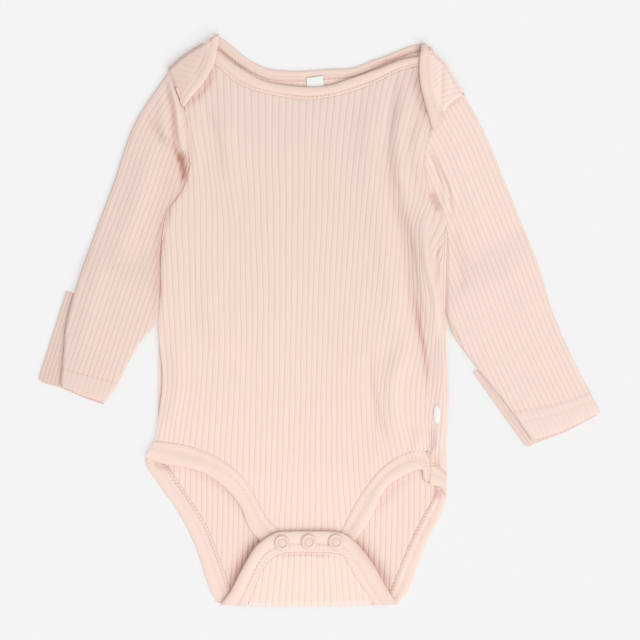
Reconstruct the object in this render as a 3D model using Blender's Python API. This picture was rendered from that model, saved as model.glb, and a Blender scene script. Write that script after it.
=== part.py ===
"""Baby bodysuit in rib knit, laid flat on its back, as closed cloth walls.

Sizes are worked out on a layout grid: u counts grid steps across, v counts them down the
garment from the shoulders, and heights are millimetres above the surface it lies on.
Left and right are as seen from above, looking at the front of the garment.
"""
import bpy
import bmesh
import numpy as np

MM = 0.001
STEP = 0.655 * MM          # one step of the layout grid
MID_U, MID_V = 319.4, 319.9   # grid point over the world origin
CLOTH = 1.1                # wall of one layer, mm
RIB = 0.35                 # how far a rib stands above its groove, mm
GAP = 0.3                  # clearance between two pieces, mm
UNDER_PLY = 1.0            # wall of a sleeve's lower layer, mm
MITTEN_ROOM = 1.75         # how far the end of a sleeve is lifted by the mitten under it, mm
SEAM = 0.3 * MM / STEP     # the same clearance in grid steps, in plan
FRONT_LIFT = 1.8           # inner face of the front above the surface, mm
CROWN = 1.0                # how much the middle of the front is fuller, mm
FOLD_LIFT = CLOTH + GAP    # height where a folded-over edge meets the layer below, mm
CREST = (0.0, 0.22, 0.78)  # groove and the two shoulders of a rib, as a share of its width
SNAP_SPOTS = ((282.0, 542.2), (308.9, 541.2), (335.9, 541.2))
SNAP_RADIUS, SNAP_WIRE = 3.85, 1.15
SNAP_LIFT = 5.0            # underside of the crotch binding where it is snapped on, mm

# Where chosen ribs of the body run: u of each rib at each level v.
LEVELS = (60, 95, 120, 150, 180, 210, 250, 300, 340, 385, 420, 450, 545)
BODY_RIBS = {
    -23.2: (140, 146, 152, 160, 168, 170, 162.4, 160.2, 156.6, 157, 158, 156, 150),
    -19.5: (160, 165, 170, 176, 180, 181, 179.5, 180, 180.1, 177, 170, 160, 140),
    -17.0: (172, 181, 184.5, 190.2, 193, 194.2, 194.4, 194, 193, 191, 188, 184, 174),
    -15.0: (188, 192.5, 195, 205, 208, 207.5, 207, 207, 206.9, 206, 204, 202, 196),
    -13.0: (207, 208.5, 210.5, 215.5, 220, 220.5, 219.5, 219, 218.9, 218.5, 218, 217, 214),
    -11.0: (224, 224.7, 225, 226.5, 230, 231, 231, 231, 230.8, 231, 231, 231, 232),
    -8.0: (243, 244.7, 245, 245.5, 246.5, 248, 248.6, 248.7, 248.7, 249, 250, 251, 256),
    0.0: (296, 296, 296, 296, 296.3, 296.5, 296.5, 296.5, 296.5, 297, 297.5, 298, 299),
    8.0: (348, 347.5, 347, 346.5, 346, 345.6, 345, 344.6, 344.3, 344, 343.5, 343, 341),
    12.0: (377, 374.5, 372.5, 371, 371, 371, 370, 368.8, 368, 367, 366.5, 366, 362),
    14.0: (392, 389.5, 386, 383, 385, 386.5, 383.5, 381, 380, 378, 378.5, 380, 380),
    16.0: (403, 400.5, 397, 392, 391.5, 396, 394.5, 391.8, 390.8, 386.5, 388, 393, 398),
    18.0: (414, 411, 409, 403, 402.5, 406, 404.5, 403, 401, 396, 399, 406.5, 414),
    20.0: (426, 422, 420.5, 415, 413, 413.5, 413, 412.5, 411, 406, 408, 415, 424),
    22.0: (432, 428.5, 426, 421, 421.8, 422, 421.5, 421, 421, 416, 414, 422, 432),
    23.0: (438, 434, 431, 425.9, 427, 428.6, 427.2, 426.4, 426.4, 422.6, 420.6, 424.6, 433),
    25.0: (462, 454, 448, 440, 440, 444.2, 439.4, 437.6, 437.6, 436.6, 435, 430, 436),
}

# The same for the back, whose end ribs follow its armholes and sides.
BACK_LEVELS = (44, 71, 95, 120, 145, 173, 200, 225, 300, 440, 520, 600)
BACK_RIBS = {
    -23.0: (152, 169.8, 178.4, 186.2, 189.8, 190.6, 177.4, 165.8, 160.6, 157.6, 152, 129),
    -15.0: (209, 203, 205, 208, 209, 209, 207.5, 207, 207, 207, 204, 188),
    0.0: (300, 298, 297, 297, 297, 297, 296.5, 296.5, 296.5, 296.5, 296.5, 295),
    15.0: (400, 396, 393, 389, 386, 386, 386, 386, 386, 386, 388, 402),
    25.0: (424, 445, 461.4, 436, 423.4, 428.4, 436, 445, 444, 445, 452, 474),
}

# Soft folds: a curve through start, middle and end, its half width (grid steps) and height (mm).
FRONT_FOLDS = (
    dict(path=((394, 80), (382, 150), (396, 205)), width=6.5, height=-1.9),
    dict(path=((394, 195), (407, 255), (424, 345)), width=6.0, height=-2.0),
    dict(path=((410, 92), (403, 150), (412, 208)), width=11.0, height=2.4),
    dict(path=((419, 216), (426, 262), (440, 325)), width=5.5, height=2.8),
    dict(path=((440, 320), (441, 370), (439, 425)), width=6.0, height=1.0),
    dict(path=((374, 110), (372, 180), (390, 265)), width=12.0, height=1.4),
    dict(path=((404, 340), (390, 398), (404, 440)), width=11.0, height=1.7),
    dict(path=((412, 428), (411, 440), (408, 452)), width=7.0, height=-0.9),
    dict(path=((434, 428), (432, 442), (430, 460)), width=4.0, height=-1.0),
    dict(path=((204, 270), (214, 322), (246, 366)), width=13.0, height=1.3),
    dict(path=((190, 300), (206, 345), (232, 380)), width=8.0, height=-0.7),
    dict(path=((188, 118), (193, 138), (197, 168)), width=4.5, height=0.9),
    dict(path=((200, 106), (206, 134), (213, 158)), width=5.0, height=-0.7),
    dict(path=((176, 330), (178, 385), (168, 432)), width=8.0, height=0.8),
)
SLEEVE_FOLDS = dict(
    left=(
        dict(path=((170, 80), (177, 112), (187, 158)), width=4.5, height=2.2),
        dict(path=((164, 86), (170, 120), (179, 162)), width=5.0, height=-1.5),
        dict(path=((150, 106), (154, 124), (166, 140)), width=6.0, height=-0.8),
        dict(path=((176, 160), (158, 205), (146, 262)), width=7.0, height=-1.0),
        dict(path=((148, 150), (128, 210), (112, 262)), width=11.0, height=1.2),
        dict(path=((104, 250), (92, 300), (84, 345)), width=9.0, height=0.7),
    ),
    right=(
        dict(path=((429, 146), (442, 172), (447, 214)), width=4.0, height=-1.3),
        dict(path=((436, 190), (438, 202), (443, 214)), width=5.0, height=-1.8),
        dict(path=((452, 226), (458, 246), (470, 262)), width=4.5, height=-1.0),
        dict(path=((450, 254), (458, 272), (462, 290)), width=4.5, height=-0.9),
        dict(path=((446, 128), (468, 190), (492, 246)), width=11.0, height=1.3),
        dict(path=((500, 250), (524, 305), (546, 356)), width=10.0, height=0.7),
    ),
)

# Edges of the pieces, as the few points their curves pass through.
LEFT_ARMHOLE = ((168.4, 71), (176, 90), (183.4, 108), (187.7, 135), (191.3, 163))
LEFT_SIDE = ((191, 165), (183.4, 190), (169, 211), (163, 240), (160.5, 300), (156.6, 340),
             (157, 386), (158.3, 412), (156.5, 440))
RIGHT_ARMHOLE = ((464.3, 95), (453, 103), (444, 112), (439.4, 121), (432, 129.4), (425.3, 145),
                 (430, 173), (437, 198), (446.5, 220))
RIGHT_SEAM = ((446.5, 220), (443.6, 230), (440.7, 248), (439, 270), (438.3, 300), (438.2, 340),
              (437.3, 382), (435.7, 418), (430.8, 452))
RIGHT_EDGE = ((447, 221), (446.5, 262), (445.6, 326), (447, 362), (448.8, 398), (447, 434),
              (445, 458), (445.6, 472))
FRONT_NECK_SEAM = ((205, 60), (215, 65), (233, 80.7), (250, 89), (283, 97), (308, 99.8),
                   (330, 97.3), (370, 85.3), (403, 70), (418, 66.7), (430, 67))
FRONT_NECK_EDGE = ((209, 45), (217, 49.5), (240, 67.3), (262, 80), (291, 85.7), (308, 87),
                   (330, 85.3), (350, 78.7), (377, 69.3), (406, 58.7), (418, 56.7), (429, 55.6))
BACK_NECK_EDGE = ((215.4, 33.8), (230, 44), (250, 60), (266, 67.5), (291, 70.8), (330, 68.7),
                  (355, 67), (370, 61), (390, 54), (410, 46), (425, 42.6))
BACK_NECK_SEAM = ((213, 43.6), (233, 60.5), (250, 72.2), (266, 79.2), (291, 81.6), (330, 79.5),
                  (355, 77), (374, 69), (394, 60.5), (410, 54), (426, 49.4))
LEFT_FLAP_FOLD = ((168.6, 67.6), (177, 59.8), (189, 51), (202, 43.2), (209, 39.2))
LEFT_FLAP_SEAM = ((209.4, 38.6), (206, 47), (204, 56), (200.4, 64.4), (194, 76), (187.3, 86.7),
                  (183.3, 94.7), (181.8, 104))
LEFT_FLAP_EDGE = ((219.2, 33.4), (218.6, 44), (216.9, 54.7), (214, 65.3), (210, 73.3), (203.3, 84),
                  (194, 94.7), (184, 107.4))
LEFT_FLAP_ARMHOLE = ((181.2, 103), (176.6, 90), (171.3, 76.4), (168.6, 71))
LEFT_FLAP_END = ((208.6, 38.4), (214, 33.6), (220, 33))
RIGHT_FLAP_ARMHOLE = ((463.8, 95), (452, 102.6), (443.4, 111.4), (441.6, 113.8))
RIGHT_FLAP_FOLD = ((431.4, 48.4), (438, 56), (446, 64), (452.7, 76), (464, 94))
RIGHT_FLAP_SEAM = ((431, 48), (430, 64), (430.6, 80), (432.6, 92), (436, 104), (440.8, 114))
RIGHT_FLAP_EDGE = ((421.6, 42.4), (419.8, 55), (419.3, 64), (420, 80), (424.6, 100), (432.2, 128.2))
RIGHT_FLAP_END = ((420.6, 42), (426, 42.6), (431.6, 48))
LEFT_LEG_SEAM = ((155.5, 440.4), (184, 444.5), (204, 450.6), (224, 461), (245, 479), (257, 499.6),
                 (267, 518), (281.6, 533), (288, 547))
LEFT_LEG_EDGE = ((145.4, 457.5), (163, 463.6), (184, 467), (204, 473), (224, 487), (241, 508),
                 (249, 528), (259.5, 540), (268, 548))
RIGHT_LEG_SEAM = ((430, 452.4), (420, 449.6), (405, 452.6), (385, 465), (360, 495), (343, 527),
                  (335, 547))
RIGHT_LEG_HOOK = ((429.4, 481), (430.3, 470), (429.6, 460), (426.6, 452.8), (420, 450.2))
RIGHT_LEG_EDGE = ((425, 481.6), (422.4, 475), (422, 470), (416, 469.8), (405, 475), (387, 487),
                  (371, 518), (356, 540), (350, 548))
LEFT_BACK_LEG = dict(
    edge=((145, 460.5), (157, 482), (174, 506), (188, 530), (198, 554), (207, 581), (216.5, 602)),
    seam=((160, 458.5), (170, 469.4), (184, 489.4), (196, 508), (208, 528), (216.5, 549),
          (225, 573), (234, 600.5)))
RIGHT_BACK_LEG = dict(
    edge=((447, 488), (441, 514), (427.5, 542), (418, 566), (409.5, 590), (400.5, 602)),
    seam=((436, 486), (435.4, 495), (430, 508), (411.8, 544.5), (399.6, 577), (385.6, 600.5)))
FLAP_RIM = ((223, 603), (230, 592), (238, 576), (246, 561), (256.8, 544.6), (265.7, 537.5),
            (276.4, 532), (290, 530.8), (309, 530.6), (330, 530.8), (343.4, 533), (355, 541),
            (371, 560), (381, 577), (396, 602))
FLAP_SEAM = ((248.4, 604), (254, 589), (259.5, 576), (264, 567), (273, 557), (282.7, 552.7),
             (295, 551.6), (309, 551.6), (322, 552), (332, 552.4), (341.6, 554.5), (348.8, 566),
             (357.7, 580.4), (364, 589), (373.6, 603))

# Sleeves: the outer edge in stations from shoulder to wrist; the inner edge beside the body, then
# free; and pace, the share of the inner edge gone at each station.
SLEEVES = dict(
    left=dict(
        outer=((168, 71.8), (134, 125), (114, 182), (99, 222), (88, 252), (78.2, 280),
               (66.8, 322), (63.8, 351), (60.6, 385.5)),
        side=LEFT_SIDE[:5], inner=((154, 327), (144, 338), (129, 362), (117, 386), (105.6, 402.6)),
        pace=(0, 0.10, 0.205, 0.315, 0.44, 0.55, 0.66, 0.82, 1),
        armhole=LEFT_ARMHOLE, cuff=((60.6, 385.5), (82, 395), (105.6, 402.6)), hem=0.92),
    right=dict(
        outer=((465, 96.4), (485, 134), (502, 175), (517, 212), (528, 239), (540.5, 272),
               (553, 314), (574, 362), (600, 412)),
        side=RIGHT_EDGE[:3], inner=((451.6, 333), (463, 350), (480.5, 372.6), (502, 399), (532, 440.4)),
        pace=(0, 0.05, 0.125, 0.206, 0.287, 0.368, 0.46, 0.645, 1),
        armhole=RIGHT_ARMHOLE, cuff=((600, 412), (566.5, 429), (532.5, 440.5)), hem=0.93),
)
MITTENS = dict(
    left=dict(
        outline=((64.8, 291), (54.2, 326.8), (46.6, 350), (38.2, 376), (40, 382), (60, 387.4),
                 (82, 397), (103.6, 404.6), (116, 372), (124, 338), (112, 300), (72.5, 292.8)),
        first=((67.9, 287), (38.2, 380)), last=((132, 290), (104, 412)), ribs=14),
    right=dict(
        outline=((472.8, 374), (492, 401), (509.6, 426), (521.4, 443.8), (529, 447),
                 (534, 443.6), (566.5, 431.6), (597, 415.5), (583, 388), (560, 352),
                 (520, 340), (478, 369)),
        first=((464.6, 361), (529, 451.6)), last=((562, 330), (606, 418)), ribs=14),
)


def weights(x, xs):
    """Weights that read a table given at xs smoothly at each x, straight past its ends."""
    x, xs = np.atleast_1d(np.asarray(x, float)), np.asarray(xs, float)
    unit, gap = np.eye(len(xs)), np.diff(xs)
    rise = (unit[1:] - unit[:-1]) / gap[:, None]
    slope = np.empty_like(unit)
    slope[1:-1] = (rise[:-1] * gap[1:, None] + rise[1:] * gap[:-1, None])
    slope[1:-1] /= (gap[:-1] + gap[1:])[:, None]
    slope[0], slope[-1] = rise[0], rise[-1]
    held = np.clip(x, xs[0], xs[-1])
    i = np.clip(np.searchsorted(xs, held, side="right") - 1, 0, len(xs) - 2)
    t, h = ((held - xs[i]) / gap[i])[:, None], gap[i][:, None]
    out = (1 + 2 * t) * (1 - t) ** 2 * unit[i] + t * (1 - t) ** 2 * h * slope[i]
    out += t * t * (3 - 2 * t) * unit[i + 1] + t * t * (t - 1) * h * slope[i + 1]
    end = np.where(x[:, None] < xs[0], slope[0], slope[-1])
    return out + (x - held)[:, None] * end


def read(x, xs, ys):
    """Values of the table ys, given at xs, at an array x of any shape."""
    x = np.asarray(x, float)
    return (weights(x.ravel(), xs) @ np.asarray(ys, float)).reshape(x.shape)


def curve(points, count):
    """Evenly spaced points on a smooth curve through the given ones."""
    points = np.asarray(points, float)
    along = np.r_[0, np.cumsum(np.linalg.norm(np.diff(points, axis=0), axis=1))]
    fine = weights(np.linspace(0, along[-1], 400), along) @ points
    run = np.r_[0, np.cumsum(np.linalg.norm(np.diff(fine, axis=0), axis=1))]
    at = np.linspace(0, run[-1], count)
    return np.stack([np.interp(at, run, fine[:, k]) for k in (0, 1)], axis=1)


def shifted(points, distance, count=60):
    """The smooth curve through points, moved sideways by a distance in grid steps."""
    line = curve(points, count)
    run = np.gradient(line, axis=0)
    run /= np.linalg.norm(run, axis=1)[:, None]
    return line + distance * np.stack([run[:, 1], -run[:, 0]], axis=1)


def closed(*edges):
    """One closed outline from several curves that follow each other."""
    return np.concatenate([curve(edge, 60) for edge in edges])


def inside(outline, u, v):
    """Whether each point lies within a closed outline."""
    hit = np.zeros(np.shape(u), bool)
    for (u0, v0), (u1, v1) in zip(outline, np.roll(outline, -1, axis=0)):
        if v0 != v1:
            hit ^= ((v0 > v) != (v1 > v)) & (u < (u1 - u0) * (v - v0) / (v1 - v0) + u0)
    return hit


def relief(u, v, folds):
    """Height in mm that a set of soft folds adds at each point."""
    total = np.zeros(np.shape(u))
    for fold in folds:
        start, middle, end = (np.array(p, float) for p in fold["path"])
        t = np.linspace(0, 1, 13)[:, None]
        line = (1 - t) ** 2 * start + 2 * t * (1 - t) * (2 * middle - (start + end) / 2) + t * t * end
        best = np.full(np.shape(u), 1e9)
        place = np.zeros(np.shape(u))
        for k, (p, q) in enumerate(zip(line[:-1], line[1:])):
            d = q - p
            f = np.clip(((u - p[0]) * d[0] + (v - p[1]) * d[1]) / (d @ d), 0, 1)
            away = np.hypot(u - p[0] - f * d[0], v - p[1] - f * d[1])
            place = np.where(away < best, (k + f) / 12, place)
            best = np.minimum(away, best)
        ends = np.clip(np.minimum(place, 1 - place) * 4, 0, 1)
        total += fold["height"] * (0.25 + 0.75 * ends) * np.exp(-(best / fold["width"]) ** 2)
    return total


def front_base(u, v):
    """Height in mm of the inner face of the front panel, and of what lies level with it."""
    left = read(v, (60, 165, 240, 340, 440), (160, 176, 163, 156, 154))
    right = read(v, (60, 165, 240, 340, 440), (470, 440, 447, 447, 446))
    across = np.clip((2 * u - left - right) / (right - left), -1, 1)
    full = CROWN * (1 - np.abs(across) ** 4) * (1 - np.clip((v - 470) / 50, 0, 1))
    rise = full + relief(u, v, FRONT_FOLDS)
    return FRONT_LIFT + 0.5 * (rise + np.sqrt(rise ** 2 + 0.04)) - 0.1


def flap_base(u, v):
    """Height in mm of the inner face of a shoulder flap, over the front and its binding."""
    over = read(v, (40, 70, 95, 130), (2.5, 2.5, 2.1, 1.9))
    return front_base(u, v) + over


def crotch_base(u, v):
    """Height in mm of the inner face of the crotch flap, from its fold up to the snaps."""
    return read(v, (530, 548, 565, 585, 600, 607), (SNAP_LIFT, SNAP_LIFT, 4.4, 3.4, 2.8, 2.7)) + 0 * u


def guided(ribs, levels):
    """A rib layout from a table of ribs, each with its u at the given levels."""
    numbers = sorted(ribs)
    table = np.array([ribs[k] for k in numbers], float)

    def lines(s, level):
        by_rib = weights(s, numbers) @ table
        u = np.stack([weights(lv, levels) @ row for lv, row in zip(level.T, by_rib)], axis=1)
        return u, level
    return lines


def straight_lines(first, last, count):
    """A rib layout between two straight end ribs, each given from start to end."""
    first, last = np.array(first, float), np.array(last, float)

    def lines(s, level):
        share = np.broadcast_to(s / count, level.shape)[..., None]
        start = first[0] + (last[0] - first[0]) * share
        end = first[1] + (last[1] - first[1]) * share
        at = start + (end - start) * level[..., None]
        return at[..., 0], at[..., 1]
    return lines


def to_world(u, v, height):
    """World points in metres from grid positions and heights in mm."""
    u, v, height = np.broadcast_arrays(u, v, height)
    return np.stack([(u - MID_U) * STEP, (MID_V - v) * STEP, height * MM], axis=-1)


def finish(name, points, faces, look):
    """Make a closed mesh object with outward faces and its own material."""
    mesh = bpy.data.meshes.new(name)
    mesh.from_pydata([tuple(p) for p in points], [], faces)
    shape = bmesh.new()
    shape.from_mesh(mesh)
    bmesh.ops.recalc_face_normals(shape, faces=shape.faces)
    shape.to_mesh(mesh)
    shape.free()
    mesh.shade_smooth()
    mesh.set_sharp_from_angle(angle=0.7)
    thing = bpy.data.objects.new(name, mesh)
    PARTS.objects.link(thing)
    dress(thing, look)
    return thing


def dress(thing, look):
    """Give an object its own plain material."""
    colour, rough = LOOKS[look]
    material = bpy.data.materials.new(thing.name)
    material.use_nodes = True
    shader = material.node_tree.nodes["Principled BSDF"]
    shader.inputs["Base Color"].default_value = (*colour, 1)
    shader.inputs["Roughness"].default_value = rough
    shader.inputs["Metallic"].default_value = 0
    thing.data.materials.clear()
    thing.data.materials.append(material)


def wall(name, outer, inner, picks, look):
    """A closed wall between an outer grid and a plainer inner grid.

    Both grids hold the same rows; picks says which outer column each inner column is under.
    """
    rows, wide = outer.shape[:2]
    slim = inner.shape[1]
    o = np.arange(rows * wide).reshape(rows, wide)
    i = rows * wide + np.arange(rows * slim).reshape(rows, slim)
    faces = []
    for grid in (o, i):
        faces += np.stack([grid[:-1, :-1], grid[:-1, 1:], grid[1:, 1:], grid[1:, :-1]],
                          axis=-1).reshape(-1, 4).tolist()
    for r in (0, rows - 1):
        for k in range(slim - 1):
            faces.append(o[r, picks[k]:picks[k + 1] + 1].tolist() + [i[r, k + 1], i[r, k]])
    for c, k in ((0, 0), (wide - 1, slim - 1)):
        faces += [[o[r, c], o[r + 1, c], i[r + 1, k], i[r, k]] for r in range(rows - 1)]
    points = np.concatenate([outer.reshape(-1, 3), inner.reshape(-1, 3)])
    return finish(name, points, faces, look)


def clip(lines, ribs, outline, span):
    """Start and end of each rib inside an outline, along a span of levels."""
    fine = np.linspace(*span, 600)
    u, v = lines(ribs, np.repeat(fine[:, None], len(ribs), axis=1))
    hit = inside(outline, u, v)
    bounds = []
    for column in hit.T:
        jumps = np.flatnonzero(np.diff(np.r_[False, column, False].astype(int)))
        runs = np.r_[jumps, 0, 1].reshape(-1, 2)
        start, stop = runs[np.argmax(runs[:, 1] - runs[:, 0])]
        bounds.append((fine[start], fine[stop - 1]))
    return np.array(bounds).T


def ribbed(name, lines, outline, span, ribs, rows, base, look, edge=None, plain=0.0,
           ribs_below=None):
    """A ribbed cloth wall whose ribs follow lines and end at an outline.

    rows are shares of each rib's length. edge, if given, takes grid positions and returns how
    far the outer and inner faces roll down there. plain fades the ribs out at both sides, and
    ribs_below is the level where they start.
    """
    s = np.array([k + c for k in range(ribs[0], ribs[1]) for c in CREST] + [ribs[1]], float)
    start, stop = clip(lines, s, outline, span)
    kept = stop - start > 0.04 * (span[1] - span[0])
    s, start, stop = s[kept], start[kept], stop[kept]
    level = start + (stop - start) * np.asarray(rows)[:, None]
    u, v = lines(s, level)
    high = np.where(np.isclose(s, np.round(s)), 0.0, RIB)
    if plain:
        high = high * np.clip(np.minimum(s - s[0], s[-1] - s) / plain, 0, 1)
    picks = [k for k in range(len(s)) if high[k] == 0 or k in (0, len(s) - 1)]
    if ribs_below:
        high = high * np.clip((v - ribs_below) / 50, 0, 1)
    under = base(u, v)
    drop = edge(u, v) if edge else 0.0
    outer = to_world(u, v, under + CLOTH + high - drop)
    inner = to_world(u, v, under - drop)[:, picks]
    return wall(name, outer, inner, picks, look)


def strip(name, seam, rim, section, base, count, look):
    """A band swept between a seam curve and a rim curve.

    section lists its outline as (share of the way from seam to rim, height in mm) pairs.
    """
    a, b = (curve(points, count)[:, None] for points in (seam, rim))
    share, height = (np.array(c, float) for c in zip(*section))
    at = a + (b - a) * share[None, :, None]
    u, v = at[..., 0], at[..., 1]
    points = to_world(u, v, base(u, v) + height)
    ring = len(section)
    n = np.arange(count * ring).reshape(count, ring)
    near = np.roll(n, -1, axis=1)
    faces = np.stack([n[:-1], near[:-1], near[1:], n[1:]], axis=-1).reshape(-1, 4).tolist()
    faces += [n[0].tolist(), n[-1].tolist()]
    return finish(name, points.reshape(-1, 3), faces, look)


def floor(u, v):
    """The surface the garment lies on."""
    return 0.0 * u


def to_edge(points):
    """Distance in mm from grid positions to a curve."""
    line = curve(points, 90)

    def distance(u, v):
        away = np.hypot(np.subtract.outer(u, line[:, 0]), np.subtract.outer(v, line[:, 1]))
        return away.min(axis=-1) * STEP / MM
    return distance


def rolled(points, radius, height):
    """How far a face drops near a folded edge, as a quarter round."""
    distance = to_edge(points)

    def drop(u, v):
        near = np.clip(1 - distance(u, v) / radius, 0, 1)
        return height * (1 - np.sqrt(1 - near ** 2))
    return drop


def front_panel():
    """The front, ribs down its length, from the neck seam to the tab under the snaps."""
    outline = closed(
        shifted(FRONT_NECK_SEAM, -SEAM), ((440, 72), (448, 100)), shifted(RIGHT_ARMHOLE[4:], -SEAM),
        shifted(RIGHT_SEAM, -SEAM), shifted(RIGHT_LEG_SEAM, -SEAM), ((334, 548), (289, 548)),
        shifted(LEFT_LEG_SEAM[::-1], -SEAM), LEFT_SIDE[::-1], shifted(LEFT_ARMHOLE[::-1], -SEAM),
        ((171, 74), (188, 64), (204, 60)))
    rows = (0, 0.04, 0.13, 0.25, 0.37, 0.49, 0.61, 0.73, 0.85, 0.95, 1)
    roll = rolled(LEFT_SIDE[3:], 2.4, 0.9)
    return ribbed("front_panel", guided(BODY_RIBS, LEVELS), outline, (55, 555), (-23, 25), rows,
                  front_base, "knit", edge=lambda u, v: np.minimum(roll(u, v), front_base(u, v) - FOLD_LIFT))


def back_panel():
    """The back, flat on the surface, with its ribs on the inner face that shows at the legs."""
    outline = closed(
        shifted(BACK_NECK_SEAM, -SEAM), ((428, 52), (440, 61), (450, 75), (463, 95)),
        ((475, 100), (475, 478), (433.4, 483)), shifted(RIGHT_BACK_LEG["seam"], -SEAM),
        ((385, 603.4), (235, 603.4)), shifted(LEFT_BACK_LEG["seam"][::-1], -SEAM),
        ((157, 452), (130, 440)), ((130, 240), (130, 72)),
        ((168, 72), (181, 60), (191, 53), (201, 47), (212, 44)))
    return ribbed("back_panel", guided(BACK_RIBS, BACK_LEVELS), outline, (42, 610), (-23, 25),
                  (0, 0.05, 0.13, 0.2, 0.28, 0.36, 0.62, 0.78, 0.9, 1), floor, "knit_inside",
                  plain=1.2, ribs_below=400)


def side_wrap():
    """The back turned round the right edge and brought forward to the side seam."""
    section = ((0.0, 0.0), (0.0, 1.1), (0.1, 1.45), (0.28, 1.45), (0.36, 1.1), (0.44, 1.45),
               (0.62, 1.4), (0.7, 1.0), (0.8, 1.2), (0.92, 0.9), (0.985, 0.35), (1.0, -0.2),
               (1.0, -0.6), (0.8, -0.3), (0.6, -0.05))
    seam = [p for p in shifted(RIGHT_SEAM, SEAM) if p[1] > 225] + [(431.2, 461)]

    def base(u, v):
        return np.maximum(front_base(u, v), FRONT_LIFT + 0.2)
    return strip("side_wrap", seam, RIGHT_EDGE[1:], section, base, 18, "knit")


def shoulder_flap(side, fold, outline, first, last):
    """A shoulder of the back, folded forward over the front."""
    roll = rolled(fold, 2.6, 10.0)

    def edge(u, v):
        return np.minimum(roll(u, v), flap_base(u, v) - FOLD_LIFT - 0.6)
    return ribbed("shoulder_flap_" + side, straight_lines(first, last, 12), outline, (0, 1), (0, 12),
                  (0, 0.05, 0.13, 0.3, 0.55, 0.8, 1), flap_base, "knit", edge=edge)


def crotch_flap():
    """The end of the back, folded up over the front tab."""
    outline = closed(shifted(FLAP_SEAM, -SEAM), ((374, 605), (309, 606.4), (247.5, 606)))
    roll = rolled(((240, 606.6), (309, 606.8), (380, 605.4)), 3.0, 10.0)
    lines = straight_lines(((256, 545), (244, 612)), ((366, 545), (378, 612)), 20)

    def edge(u, v):
        return np.minimum(roll(u, v), crotch_base(u, v) - FOLD_LIFT)
    return ribbed("crotch_flap", lines, outline, (0, 1), (1, 19),
                  (0, 0.3, 0.6, 0.85, 0.93, 0.97, 1), crotch_base, "knit", edge=edge)


def sleeve(side, plan):
    """A sleeve pressed flat: a tube open at the armhole and at the cuff."""
    ribs, count, beside = 12, len(plan["outer"]), -1.1 if side == "left" else 1.0
    along_body = shifted(plan["side"], beside)
    free = curve(np.vstack([along_body[-6:-5], plan["inner"]]), 60)
    line = np.concatenate([along_body[:-6], free])
    run = np.r_[0, np.cumsum(np.linalg.norm(np.diff(line, axis=0), axis=1))]
    stations = np.array([0, 0.05, 0.13, 0.23, 0.34, 0.46, 0.6, 0.74, 0.85, plan["hem"],
                         plan["hem"] + 0.012, 1.0])
    outer_edge = weights(stations, np.linspace(0, 1, count)) @ np.array(plan["outer"], float)
    gone = read(stations, np.linspace(0, 1, count), plan["pace"]) * run[-1]
    inner_edge = np.stack([np.interp(gone, run, line[:, k]) for k in (0, 1)], axis=1)
    share = np.array([k + c for k in range(ribs) for c in CREST] + [ribs], float) / ribs
    at = outer_edge[:, None] + (inner_edge - outer_edge)[:, None] * share[None, :, None]
    for end, points, reach in ((0, plan["armhole"], 0.3), (1, plan["cuff"], 0.12)):
        edge = curve(points, 200)
        even = np.linspace(0, 1, 200)
        bend = np.stack([np.interp(share, even, edge[:, k]) for k in (0, 1)], axis=1)
        bend -= edge[0] + (edge[-1] - edge[0]) * share[:, None]
        fade = np.clip(1 - np.abs(stations - end) / reach, 0, 1) ** 1.3
        at += fade[:, None, None] * bend
    at[0] += (-0.35 if side == "left" else 0.3, 0.1)     # clear of the body at the armhole
    u, v = at[..., 0], at[..., 1]
    ramp = np.clip((stations - 0.42) / 0.18, 0, 1)
    under = (MITTEN_ROOM * ramp * ramp * (3 - 2 * ramp))[:, None]
    fuller = 0.9 * (1 - np.abs(2 * share - 1) ** 3)
    ends = np.clip(np.minimum(share, 1 - share) * 9, 0, 1)
    rise = fuller + relief(u, v, SLEEVE_FOLDS[side]) * ends
    rise = 0.5 * (rise + np.sqrt(rise ** 2 + 0.02))
    hem = (stations > plan["hem"] + 0.006)[:, None]
    rib = np.where(np.isclose(share * ribs % 1, 0), 0, RIB) * np.where(hem, 0.4, 1.0)
    top = under + UNDER_PLY + GAP + rise + CLOTH - 0.6 * (1 - ends)
    picks = list(range(0, len(share), 3))
    inset = 0.9 * MM / STEP / np.linalg.norm(inner_edge - outer_edge, axis=1)[:, None]
    drawn_in = (0.5 - share) * 2 * inset
    tight = at + drawn_in[..., None] * (inner_edge - outer_edge)[:, None]
    below = tight[:, picks[::-1]]
    upper = to_world(tight[..., 0], tight[..., 1], top + rib + 0.25 * hem)
    lower = to_world(below[..., 0], below[..., 1], under)
    right_tip, left_tip = (to_world(at[:, k, 0], at[:, k, 1], under + CLOTH)
                           for k in (slice(-1, None), slice(0, 1)))
    outer = np.concatenate([upper, right_tip, lower, left_tip], axis=1)
    roof = np.maximum(top - CLOTH, under + UNDER_PLY + GAP)[:, picks]
    ceiling = to_world(tight[:, picks, 0], tight[:, picks, 1], roof)
    ground = to_world(below[..., 0], below[..., 1], under + UNDER_PLY)
    inner = np.concatenate([ceiling[:, 1:-1], ground[:, 1:-1]], axis=1)
    return tube("sleeve_" + side, outer, inner, picks, len(share), "knit_sleeve")


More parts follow.
